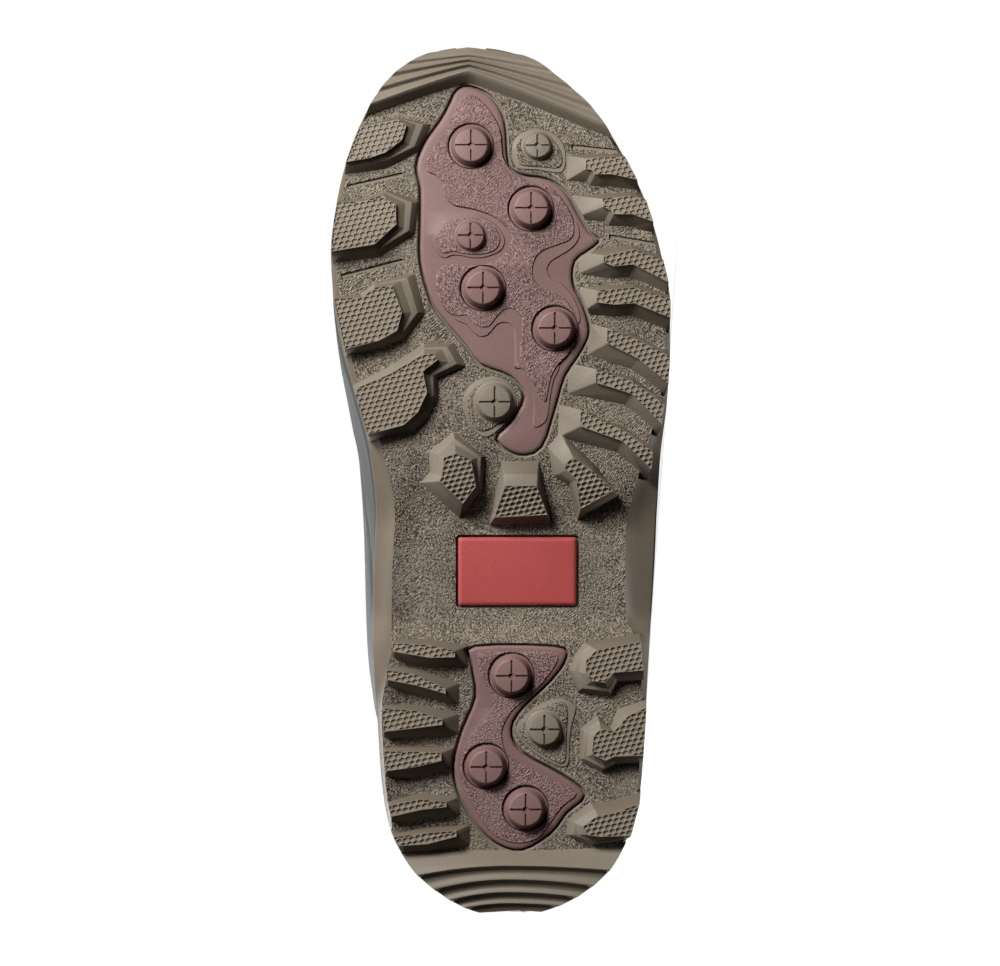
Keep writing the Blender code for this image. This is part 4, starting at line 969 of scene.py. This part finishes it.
def make_pad(name, corners, low, high, wells, moulded, finishes):
    """Inlay with a rounded edge, low terraces and a well for each plug."""
    grained, smooth_finish = finishes
    ground = PAD_RISE - 2 * TERRACE_STEP if low else PAD_RISE - TERRACE_STEP
    profile = [(-inset, ground - drop) for inset, drop in PAD_EDGE] + [(0.0, -PAD_DEPTH)]
    pad = stepped(name, closed_curve(corners), profile, smooth_finish)
    additions = []
    for number, shape in enumerate(low):
        additions.append(terrace("low_%d" % number, shape, PAD_RISE - TERRACE_STEP, smooth_finish))
    for number, shape in enumerate(high):
        additions.append(terrace("high_%d" % number, shape, PAD_RISE, grained))
    if moulded:
        additions.append(moulded_stud("pad_stud", moulded, PAD_RISE, smooth_finish))
    combine(pad, additions, "UNION")
    drill = (
        (WELL_RADIUS + WELL_FLARE, CUTTER_REACH),
        (WELL_RADIUS + WELL_FLARE, PAD_RISE + 0.1),
        (WELL_RADIUS, PAD_RISE - WELL_FLARE),
        (WELL_RADIUS, -CUTTER_REACH),
    )
    drills = [turned("drill_%d" % number, well, drill, smooth_finish) for number, well in enumerate(wells)]
    combine(pad, drills, "DIFFERENCE")
    return drape(bend_ready(pad))


def make_stud(name, place, finish):
    """Plug with a flange in the well, a tapered side and a cross in its rounded face."""
    profile = (
        (WELL_RADIUS - GAP, -PAD_DEPTH),
        (WELL_RADIUS - GAP, -0.1),
        (WELL_RADIUS - GAP - 0.15, 0.05),
        (STUD_FACE_RADIUS + 1.75, 0.15),
        (STUD_FACE_RADIUS + 1.45, 0.5),
        (STUD_FACE_RADIUS + 0.9, 2.4),
        (STUD_FACE_RADIUS + 0.3, STUD_RISE - 0.6),
        (STUD_FACE_RADIUS + 0.15, STUD_RISE - 0.25),
        (STUD_FACE_RADIUS - 0.1, STUD_RISE - 0.06),
        (STUD_FACE_RADIUS - 0.4, STUD_RISE),
    )
    stud = turned(name, place, profile, finish)
    return drape(combine(stud, cross_cutters(*place, STUD_FACE_RADIUS - 0.05, STUD_RISE), "DIFFERENCE"))


def make_plate(finish):
    """Bare plate with a rounded edge, seated in the waist."""
    rings = [flat_ring(plate_outline(inset), PLATE_RISE - drop) for inset, drop in PLATE_EDGE]
    rings.append(flat_ring(plate_outline(0.0), -PLATE_DEPTH))
    return drape(loft("red_plate", rings, finish))


# Honeycomb on the lugs

def clip_to_cell(outline, cell):
    """Part of an outline inside a convex cell."""
    kept = list(outline)
    for start, end in zip(cell, np.roll(cell, -1, axis=0)):
        side = end - start
        before = kept
        kept = []
        for spot, point in enumerate(before):
            last = before[spot - 1]
            inside = side[0] * (point[1] - start[1]) - side[1] * (point[0] - start[0])
            last_inside = side[0] * (last[1] - start[1]) - side[1] * (last[0] - start[0])
            if (inside > 0) != (last_inside > 0):
                kept.append(last + (point - last) * (last_inside / (last_inside - inside)))
            if inside > 0:
                kept.append(point)
    return kept


def honeycomb_cells(outline):
    """Six-sided cells in tilted rows, cut to an outline."""
    across = np.array((-math.cos(CELL_TILT), math.sin(CELL_TILT)))
    upward = np.array((math.sin(CELL_TILT), math.cos(CELL_TILT)))
    hexagon = np.array(((0, 2), (-1.5, 1), (-1.5, -1), (0, -2), (1.5, -1), (1.5, 1))) / 3
    hexagon = np.outer(hexagon[:, 0] * CELL_PITCH, across) + np.outer(hexagon[:, 1] * CELL_ROW, upward)
    if np.cross(hexagon[1] - hexagon[0], hexagon[2] - hexagon[1]) < 0:
        hexagon = hexagon[::-1]
    reach = outline @ np.column_stack((across, upward)) / (CELL_PITCH, CELL_ROW)
    first_spot, first_row = np.floor(reach.min(axis=0)).astype(int) - 1
    last_spot, last_row = np.ceil(reach.max(axis=0)).astype(int) + 1
    cells = []
    for row in range(first_row, last_row + 1):
        shift = 0.5 * (row % 2)
        for spot in range(first_spot, last_spot + 1):
            middle = across * (spot + shift) * CELL_PITCH + upward * row * CELL_ROW
            cell = clip_to_cell(outline, hexagon + middle)
            if len(cell) > 2:
                cells.append(cell)
    return cells


def add_node(tree, kind, settings, sockets):
    """Add a node to a tree: its type, its settings, and its sockets' values or links."""
    made = tree.nodes.new(kind)
    for name, value in dict(settings).items():
        setattr(made, name, value)
    for name, value in dict(sockets).items():
        if isinstance(value, bpy.types.NodeSocket):
            tree.links.new(value, made.inputs[name])
        else:
            made.inputs[name].default_value = value
    return made


class Tree:
    """Geometry Nodes tree with named inputs, built node by node."""

    def __init__(self, name, inputs):
        self.group = bpy.data.node_groups.new(name, "GeometryNodeTree")
        sockets = self.group.interface
        sockets.new_socket("Geometry", in_out="INPUT", socket_type="NodeSocketGeometry")
        sockets.new_socket("Geometry", in_out="OUTPUT", socket_type="NodeSocketGeometry")
        self.keys = {}
        for label, kind in inputs:
            self.keys[label] = sockets.new_socket(label, in_out="INPUT", socket_type=kind).identifier
        self.source = self.group.nodes.new("NodeGroupInput").outputs
        self.sink = self.group.nodes.new("NodeGroupOutput").inputs["Geometry"]

    def node(self, kind, settings=(), sockets=()):
        return add_node(self.group, kind, settings, sockets).outputs

    def apply(self, piece, values):
        """Run the tree on a piece and make the result its mesh."""
        modifier = piece.modifiers.new(self.group.name, "NODES")
        modifier.node_group = self.group
        for label, value in values.items():
            modifier[self.keys[label]] = value
        return settle_modifiers(piece)


def honeycomb_tree():
    """Sinks a pit in each large enough cell of a sheet and closes the sheet below."""
    tree = Tree("honeycomb", (
        ("Rim share", "NodeSocketFloat"),
        ("Pit depth", "NodeSocketFloat"),
        ("Floor share", "NodeSocketFloat"),
        ("Least area", "NodeSocketFloat"),
        ("Sheet", "NodeSocketVector"),
        ("Finish", "NodeSocketMaterial"),
    ))
    source = tree.source
    faces = {"mode": "FACES"}
    by_face = {"domain": "FACE"}
    area = tree.node("GeometryNodeInputMeshFaceArea")["Area"]
    large = tree.node("FunctionNodeCompare", {"data_type": "FLOAT", "operation": "GREATER_THAN"},
                      {0: area, 1: source["Least area"]})["Result"]
    rims = tree.node("GeometryNodeExtrudeMesh", faces, {
        "Mesh": source["Geometry"], "Selection": large, "Offset Scale": 0.0, "Individual": True})
    shrunk = tree.node("GeometryNodeScaleElements", by_face, {
        "Geometry": rims["Mesh"], "Selection": rims["Top"], "Scale": source["Rim share"]})
    sunk = tree.node("ShaderNodeMath", {"operation": "MULTIPLY"}, {0: source["Pit depth"], 1: -1.0})
    pits = tree.node("GeometryNodeExtrudeMesh", faces, {
        "Mesh": shrunk["Geometry"], "Selection": rims["Top"], "Offset Scale": sunk["Value"],
        "Individual": True})
    floors = tree.node("GeometryNodeScaleElements", by_face, {
        "Geometry": pits["Mesh"], "Selection": pits["Top"], "Scale": source["Floor share"]})
    sheet = tree.node("GeometryNodeExtrudeMesh", faces, {
        "Mesh": source["Geometry"], "Offset": source["Sheet"], "Offset Scale": 1.0, "Individual": False})
    under = tree.node("GeometryNodeFlipFaces", (), {"Mesh": sheet["Mesh"]})
    joined = add_node(tree.group, "GeometryNodeJoinGeometry", (), {"Geometry": floors["Geometry"]})
    tree.group.links.new(under["Mesh"], joined.inputs["Geometry"])
    merged = tree.node("GeometryNodeMergeByDistance", (), {
        "Geometry": joined.outputs["Geometry"], "Distance": WELD_DISTANCE})
    real = tree.node("GeometryNodeRealizeInstances", (), {"Geometry": merged["Geometry"]})
    finished = tree.node("GeometryNodeSetMaterial", (), {
        "Geometry": real["Geometry"], "Material": source["Finish"]})
    tree.group.links.new(finished["Geometry"], tree.sink)
    return tree


def make_honeycomb(finish):
    """Sheet of pits on the flat top of every lug."""
    points = []
    faces = []
    for rings in all_lug_rings():
        for cell in honeycomb_cells(rings[0][:, :2]):
            faces.append(tuple(range(len(points), len(points) + len(cell))))
            points.extend((x, y, -LUG_HEIGHT) for x, y in cell)
    piece = drape(new_object("lug_honeycomb", points, faces))

    def weld(shape):
        bmesh.ops.remove_doubles(shape, verts=shape.verts, dist=WELD_DISTANCE)
        for face in shape.faces:
            face.normal_update()
            if face.normal.z > 0:
                face.normal_flip()

    edit(piece, weld)
    return honeycomb_tree().apply(piece, {
        "Rim share": CELL_RIM_SHARE,
        "Pit depth": HONEYCOMB_HEIGHT * MM,
        "Floor share": CELL_FLOOR_SHARE,
        "Least area": CELL_LEAST_SHARE * CELL_PITCH * CELL_ROW * MM * MM,
        "Sheet": (0.0, 0.0, 2 * HONEYCOMB_HEIGHT * MM),
        "Finish": finish,
    })


# Upper, lining and footbed

def upper_rings(places, columns):
    """Rings of the upper at places between the table's rows, as rings by points."""
    rows = np.arange(len(RING_ROWS), dtype=float)
    ring = RingRow(*[smooth(rows, column(RING_ROWS, name), places)[:, None] for name in RingRow._fields])
    turns = np.linspace(0, 2 * math.pi, columns, endpoint=False)[None, :]
    share = (1 - np.cos(turns)) / 2
    medial = np.sin(turns) >= 0
    along = share * SOLE_LENGTH
    inset = FEATHER_INSET * np.clip(1 - places, 0, 1)[:, None]
    plan_x = np.where(medial, sole_edge(1, along), sole_edge(-1, along)) - inset * np.sin(turns)
    oval_x = np.sin(turns) * np.where(medial, ring.medial, ring.lateral)
    y = ring.back_y + (ring.front_y - ring.back_y) * share
    swell = np.where(medial, window(SWELL_MEDIAL, y), 0.0)
    x = ring.plan * plan_x + (1 - ring.plan) * oval_x + ring.swell * swell * np.abs(np.sin(turns)) ** 0.5
    footbed = height_at("footbed", y) + GAP
    middle = footbed[:, columns // 2][:, None]
    chord = footbed[:, :1] + (middle - footbed[:, :1]) * share
    z = ring.back_z + (ring.front_z - ring.back_z) * share + ring.footbed * (footbed - chord)
    return np.stack((x, y, z), axis=2)


def outward_normals(rings):
    round_way = np.roll(rings, -1, axis=1) - np.roll(rings, 1, axis=1)
    normals = np.cross(round_way, np.gradient(rings, axis=0))
    return normals / np.linalg.norm(normals, axis=2)[:, :, None]


def fold_depths(rings):
    """How far the folds press each point of the upper in."""
    degrees = np.linspace(0, 360, rings.shape[1], endpoint=False)[None, :]
    pressed = np.zeros(rings.shape[:2])
    for fold in FOLDS:
        share = (degrees - fold.start) % 360 / (fold.end - fold.start)
        t = np.clip(share, 0, 1)
        bow = 4 * t * (1 - t) * (fold.middle_z - (fold.start_z + fold.end_z) / 2)
        line = fold.start_z + (fold.end_z - fold.start_z) * t + bow
        fade = np.where(share < 1, np.abs(np.sin(math.pi * t)) ** 0.7, 0)
        pressed += fold.depth * fade * np.exp(-((rings[:, :, 2] - line) / fold.width) ** 2)
    return pressed


def closed_sheet(name, rings, finish):
    """Tube through rings whose last ring joins the first, with a map of its rings and columns."""
    count, columns = rings.shape[:2]
    faces = []
    corners = []
    for ring in range(count):
        for spot in range(columns):
            square = ((ring, spot), (ring, spot + 1), (ring + 1, spot + 1), (ring + 1, spot))
            faces.append(tuple(row % count * columns + place % columns for row, place in square))
            corners.extend((place / columns, row / count) for row, place in square)
    piece = new_object(name, rings.reshape(-1, 3), faces, finish)
    layer = piece.data.uv_layers.new(name="weave")
    layer.data.foreach_set("uv", np.array(corners).ravel())
    return piece


def make_upper(finish):
    """Hollow boot body with its folds, a stepped collar band and a round rim."""
    last = len(RING_ROWS) - 1
    row_height = RING_ROWS[-1].back_z - RING_ROWS[-2].back_z
    band = last - COLLAR_BAND_HEIGHT / row_height
    rim = (UPPER_WALL + COLLAR_BAND_STEP) / 2
    top = last - rim / row_height
    below, step_foot, step_head, above = [band + place for place in BAND_RING_PLACES]
    places = np.concatenate((
        np.linspace(0, below, UPPER_RINGS),
        np.linspace(step_foot, step_head, BAND_STEP_RINGS),
        np.linspace(above, top, BAND_RINGS),
    ))
    surface = upper_rings(places, UPPER_COLUMNS)
    normals = outward_normals(surface)
    into_step = np.clip((places - band - BAND_STEP_START) / BAND_STEP_RUN, 0, 1)
    step = COLLAR_BAND_STEP * ease(into_step)[:, None]
    outer = surface + normals * (step - fold_depths(surface))[:, :, None]
    inner = surface - normals * (UPPER_WALL + np.clip(fold_depths(surface), 0, None))[:, :, None]
    round_rim = []
    for turn in np.linspace(0, math.pi, COLLAR_RIM_RINGS)[1:-1]:
        out = rim * math.cos(turn) + (COLLAR_BAND_STEP - UPPER_WALL) / 2
        round_rim.append(surface[-1] + normals[-1] * out + np.array((0, 0, rim * math.sin(turn))))
    return closed_sheet("boot_upper", np.concatenate((outer, round_rim, inner[::-1])), finish)


def make_lining(finish):
    """Cloth lining just inside the upper, turned in a little below the rim."""
    last = len(RING_ROWS) - 1
    places = np.linspace(LINING_LOW_END, last - LINING_HIGH_END, LINING_RINGS)
    surface = upper_rings(places, LINING_COLUMNS)
    normals = outward_normals(surface)
    pressed = np.clip(fold_depths(surface), 0, None)
    outside = surface - normals * (UPPER_WALL + LINING_GAP + pressed)[:, :, None]
    inside = outside - normals * LINING_THICKNESS
    return closed_sheet("lining", np.concatenate((outside, inside[::-1])), finish)


def make_footbed(finish):
    """Footbed with a soft edge that follows the top of the outsole inside the upper."""
    rings = []
    for turn in np.linspace(END_TURN, math.pi - END_TURN, SOLE_SECTIONS // 2):
        along = SOLE_LENGTH * (1 - math.cos(turn)) / 2
        end_pull, side_pull = inset_pulls(turn)
        y = along + INSOLE_INSET * end_pull
        medial_x = float(sole_edge(1, along)) - INSOLE_INSET * side_pull
        lateral_x = float(sole_edge(-1, along)) + INSOLE_INSET * side_pull
        x = np.linspace(medial_x, lateral_x, FOOTBED_COLUMNS)
        low = float(height_at("footbed", y)) + GAP
        bottom = np.column_stack((x, np.full_like(x, y), np.full_like(x, low)))
        top = bottom.copy()
        top[:, 2] += INSOLE_THICKNESS - FOOTBED_EDGE_DROP * np.linspace(-1, 1, FOOTBED_COLUMNS) ** 8
        rings.append(np.concatenate((bottom, top[::-1])))
    return loft("footbed", rings, finish)


# Materials

class Shade:
    """Value in a material's node tree, with arithmetic and a way to make any other node from it."""

    def __init__(self, tree, output):
        self.tree = tree
        self.output = output

    def node(self, kind, settings=(), sockets=(), result=0):
        """Add a node: its type, its settings, and its sockets' values or links."""
        plain = {name: getattr(value, "output", value) for name, value in dict(sockets).items()}
        return Shade(self.tree, add_node(self.tree, kind, settings, plain).outputs[result])

    def maths(self, operation, first, second=0.0):
        return self.node("ShaderNodeMath", {"operation": operation}, {0: first, 1: second})

    def feed(self, socket):
        self.tree.links.new(self.output, socket)

    def noise(self, scale, detail=2.0):
        return self.node("ShaderNodeTexNoise", (), {"Vector": self, "Scale": scale, "Detail": detail})

    def stretched(self, way, scale):
        """Noise drawn out across a direction, so that its wrinkles lie along the other one."""
        along = self.node("ShaderNodeVectorMath", {"operation": "DOT_PRODUCT"}, {0: self, 1: way}, "Value")
        squeeze = self.node("ShaderNodeVectorMath", {"operation": "SCALE"}, {0: way, "Scale": along})
        moved = self.node("ShaderNodeVectorMath", {"operation": "MULTIPLY_ADD"},
                          {0: squeeze, 1: (GRAIN_STRETCH,) * 3, 2: self})
        return moved.noise(scale, 1.0)

    def clamped(self, lowest=0.0):
        return self.node("ShaderNodeClamp", (), {"Value": self, "Min": lowest, "Max": 1.0})

    def blend(self, first, second):
        """Colour between two others, with this value as the share of the second."""
        return self.node("ShaderNodeMix", {"data_type": "RGBA"}, {0: self, 6: first, 7: second}, 2)

    def bump(self, strength, distance):
        return self.node("ShaderNodeBump", (), {"Strength": strength, "Distance": distance, "Height": self})

    def __add__(self, other):
        return self.maths("ADD", self, other)

    def __radd__(self, other):
        return self.maths("ADD", other, self)

    def __sub__(self, other):
        return self.maths("SUBTRACT", self, other)

    def __rsub__(self, other):
        return self.maths("SUBTRACT", other, self)

    def __mul__(self, other):
        return self.maths("MULTIPLY", self, other)

    def __rmul__(self, other):
        return self.maths("MULTIPLY", other, self)


def new_material(name):
    """Material, its shader's sockets, and the place on the object."""
    made = bpy.data.materials.new(name)
    made.use_nodes = True
    nodes = made.node_tree.nodes
    place = Shade(made.node_tree, nodes.new("ShaderNodeTexCoord").outputs["Object"])
    return made, nodes["Principled BSDF"].inputs, place


def shaded(colour, share):
    return (*[channel * share for channel in colour], 1.0)


def rubber(name, colour, roughness, grain=0.0, mottling=0.12, fine=0.15):
    """Moulded rubber: soft clouds of tone, fine specks, and a wrinkled grain where it has one."""
    made, shader, place = new_material(name)
    clouds = place.noise(CLOUD_SCALE, 3.0)
    specks = place.noise(SPECK_SCALE, 1.0)
    tone = 0.5 + (clouds - 0.5) * 0.5 + (specks - 0.5) * 0.5
    relief = specks * fine
    if grain:
        rising = place.stretched(GRAIN_RISING, GRAIN_SCALE)
        falling = place.stretched(GRAIN_FALLING, GRAIN_SCALE)
        patch = (place.noise(PATCH_SCALE, 1.0) * PATCH_GAIN - PATCH_DROP).clamped()
        wrinkles = ((falling + (rising - falling) * patch - 0.5) * GRAIN_GAIN).clamped(-1.0)
        tone = tone + wrinkles * grain
        relief = relief + wrinkles * grain
    toned = tone.blend(shaded(colour, 1 - 2 * mottling), shaded(colour, 1 + 2 * mottling))
    toned.feed(shader["Base Color"])
    (roughness + (clouds - 0.5) * 0.2 + (specks - 0.5) * 0.1).feed(shader["Roughness"])
    relief.bump(RUBBER_BUMP, GRAIN_HEIGHT).feed(shader["Normal"])
    shader["Specular IOR Level"].default_value = RUBBER_SHINE
    return made


def finish_cloth(shader, place, colour, threads, cloth):
    """Give a cloth's shader the tone and relief of its threads and fuzz."""
    fuzz = place.noise(cloth.fuzz_scale, 2.0)
    tone = threads * cloth.thread_tone + fuzz * cloth.fuzz_tone
    tone.blend(shaded(colour, cloth.dark), shaded(colour, cloth.light)).feed(shader["Base Color"])
    (threads + fuzz * cloth.fuzz_relief).bump(CLOTH_BUMP, CLOTH_HEIGHT).feed(shader["Normal"])
    shader["Roughness"].default_value = CLOTH_ROUGHNESS
    shader["Specular IOR Level"].default_value = CLOTH_SHINE


def knit(name, colour, roundwise, upwards):
    """Cloth with ribs of small loops, laid out on the piece's own map."""
    made, shader, place = new_material(name)
    weave = place.node("ShaderNodeUVMap", {"uv_map": "weave"})
    place_u = weave.node("ShaderNodeSeparateXYZ", (), {0: weave}, 0)
    place_v = weave.node("ShaderNodeSeparateXYZ", (), {0: weave}, 1)
    ribs = place.maths("SINE", place_u * (2 * math.pi * roundwise))
    loops = place.maths("SINE", place_v * (2 * math.pi * upwards))
    finish_cloth(shader, place, colour, 0.5 + ribs * 0.25 + ribs * loops * 0.25, KNIT)
    return made


def woven(name, colour):
    """Footbed cover: a plain weave in the plane of the sole."""
    made, shader, place = new_material(name)
    lengthwise = place.node("ShaderNodeSeparateXYZ", (), {0: place}, 0)
    crosswise = place.node("ShaderNodeSeparateXYZ", (), {0: place}, 2)
    warp = place.maths("SINE", lengthwise * WEAVE_TURNS)
    weft = place.maths("SINE", crosswise * WEAVE_TURNS)
    finish_cloth(shader, place, colour, 0.5 + warp * weft * 0.5, WEAVE)
    return made


# The boot

taupe_grained = rubber("taupe_grained", (0.192, 0.16, 0.122), 0.62, grain=1.0, mottling=0.38)
taupe_smooth = rubber("taupe_smooth", (0.185, 0.154, 0.118), 0.5)
# Darker copy of the taupe: painted shade on the lugs' steep sides and the sole's flanks
taupe_walls = rubber("taupe_walls", (0.135, 0.109, 0.08), 0.55)
# Lighter copy of the taupe: painted light that makes the lugs' honeycomb tops brighter than the base
taupe_cells = rubber("taupe_cells", (0.222, 0.185, 0.143), 0.45)
mauve_grained = rubber("mauve_grained", (0.222, 0.137, 0.126), 0.6, grain=0.8, mottling=0.26)
mauve_smooth = rubber("mauve_smooth", (0.185, 0.11, 0.1), 0.48)
maroon_smooth = rubber("maroon_smooth", (0.2, 0.117, 0.107), 0.45)
red_smooth = rubber("red_smooth", (0.37, 0.063, 0.061), 0.45)
slate = rubber("slate", (0.06, 0.064, 0.064), 0.68, mottling=0.16, fine=0.25)

outsole = make_outsole(taupe_grained, taupe_smooth, taupe_walls)
dress(outsole, ["outsole"])
# The honeycomb tops wear the lighter taupe of painted light
dress(make_honeycomb(taupe_cells))
mauves = (mauve_grained, mauve_smooth)
forefoot_pad = make_pad("forefoot_inlay", FOREFOOT_PAD, FOREFOOT_LOW_TERRACES, FOREFOOT_HIGH_TERRACES,
                        FOREFOOT_STUDS, PAD_STUD, mauves)
dress(forefoot_pad, ["forefoot_pad"])
heel_pad = make_pad("heel_inlay", HEEL_PAD, (), HEEL_TERRACES, HEEL_STUDS, None, mauves)
dress(heel_pad, ["heel_pad"])
for region, places in (("forefoot", FOREFOOT_STUDS), ("heel", HEEL_STUDS)):
    for number, place in enumerate(places, start=1):
        plug = make_stud("%s_plug_%d" % (region, number), place, maroon_smooth)
        dress(plug, ["%s_stud_%d" % (region, number)])
dress(make_plate(red_smooth), ["waist_plate"])
dress(make_upper(slate), ["upper"], corner_angle=50.0)
dress(make_lining(knit("lining_knit", (0.09, 0.093, 0.097), 150, 260)))
footbed = make_footbed(woven("footbed_weave", (0.05, 0.052, 0.055)))
dress(footbed, ["insole"], corner_angle=60.0)


# Floor, light and camera

floor_mesh = bpy.data.meshes.new("floor")
floor_corners = [(FLOOR_REACH * x, FLOOR_REACH * y, 0) for x, y in ((-1, -1), (1, -1), (1, 1), (-1, 1))]
floor_mesh.from_pydata(floor_corners, [], [(0, 1, 2, 3)])
floor_finish, floor_shader, floor_place = new_material("floor")
floor_place.noise(8.0, 3.0).blend(FLOOR_DARK, FLOOR_LIGHT).feed(floor_shader["Base Color"])
floor_shader["Roughness"].default_value = 0.8
floor_shader["Emission Color"].default_value = WHITE
floor_shader["Emission Strength"].default_value = FLOOR_GLOW
floor_mesh.materials.append(floor_finish)
floor = bpy.data.objects.new("floor", floor_mesh)
bpy.context.scene.collection.objects.link(floor)
floor.visible_diffuse = False
floor.visible_glossy = False
floor.visible_shadow = False

world = bpy.data.worlds.new("studio")
world.use_nodes = True
sky = world.node_tree.nodes["Background"].inputs
sky["Color"].default_value = WHITE
seen = Shade(world.node_tree, world.node_tree.nodes.new("ShaderNodeLightPath").outputs["Is Camera Ray"])
(AMBIENT + seen * (1.0 - AMBIENT)).feed(sky["Strength"])
bpy.context.scene.world = world

aim = Vector((*VIEW_CENTRE, VIEW_PLANE)) * MM
for lamp in LAMPS:
    bulb = bpy.data.lights.new(lamp.name, lamp.kind)
    bulb.energy = lamp.power
    if lamp.kind == "SUN":
        bulb.angle = math.radians(lamp.spread)
    else:
        bulb.size = lamp.spread
    light = bpy.data.objects.new(lamp.name, bulb)
    towards = Vector(lamp.way).normalized()
    turn = towards.to_track_quat("Z", "Y").to_matrix().to_4x4()
    light.matrix_world = LAY @ Matrix.Translation(aim + towards * lamp.distance) @ turn
    light.visible_camera = False
    bpy.context.scene.collection.objects.link(light)

lens = bpy.data.cameras.new("camera")
lens.lens = lens.sensor_width * VIEW_DISTANCE / VIEW_WIDTH
lens.clip_start = 0.01
camera = bpy.data.objects.new("camera", lens)
bpy.context.scene.collection.objects.link(camera)
backwards = Vector((math.sin(VIEW_TILT), 0.0, -math.cos(VIEW_TILT)))
upwards = Vector((0.0, 1.0, 0.0))
turn = Matrix((upwards.cross(backwards), upwards, backwards)).transposed().to_4x4()
camera.matrix_world = LAY @ Matrix.Translation(aim + backwards * VIEW_DISTANCE * MM) @ turn
bpy.context.scene.camera = camera
bpy.context.scene.view_settings.view_transform = "Standard"
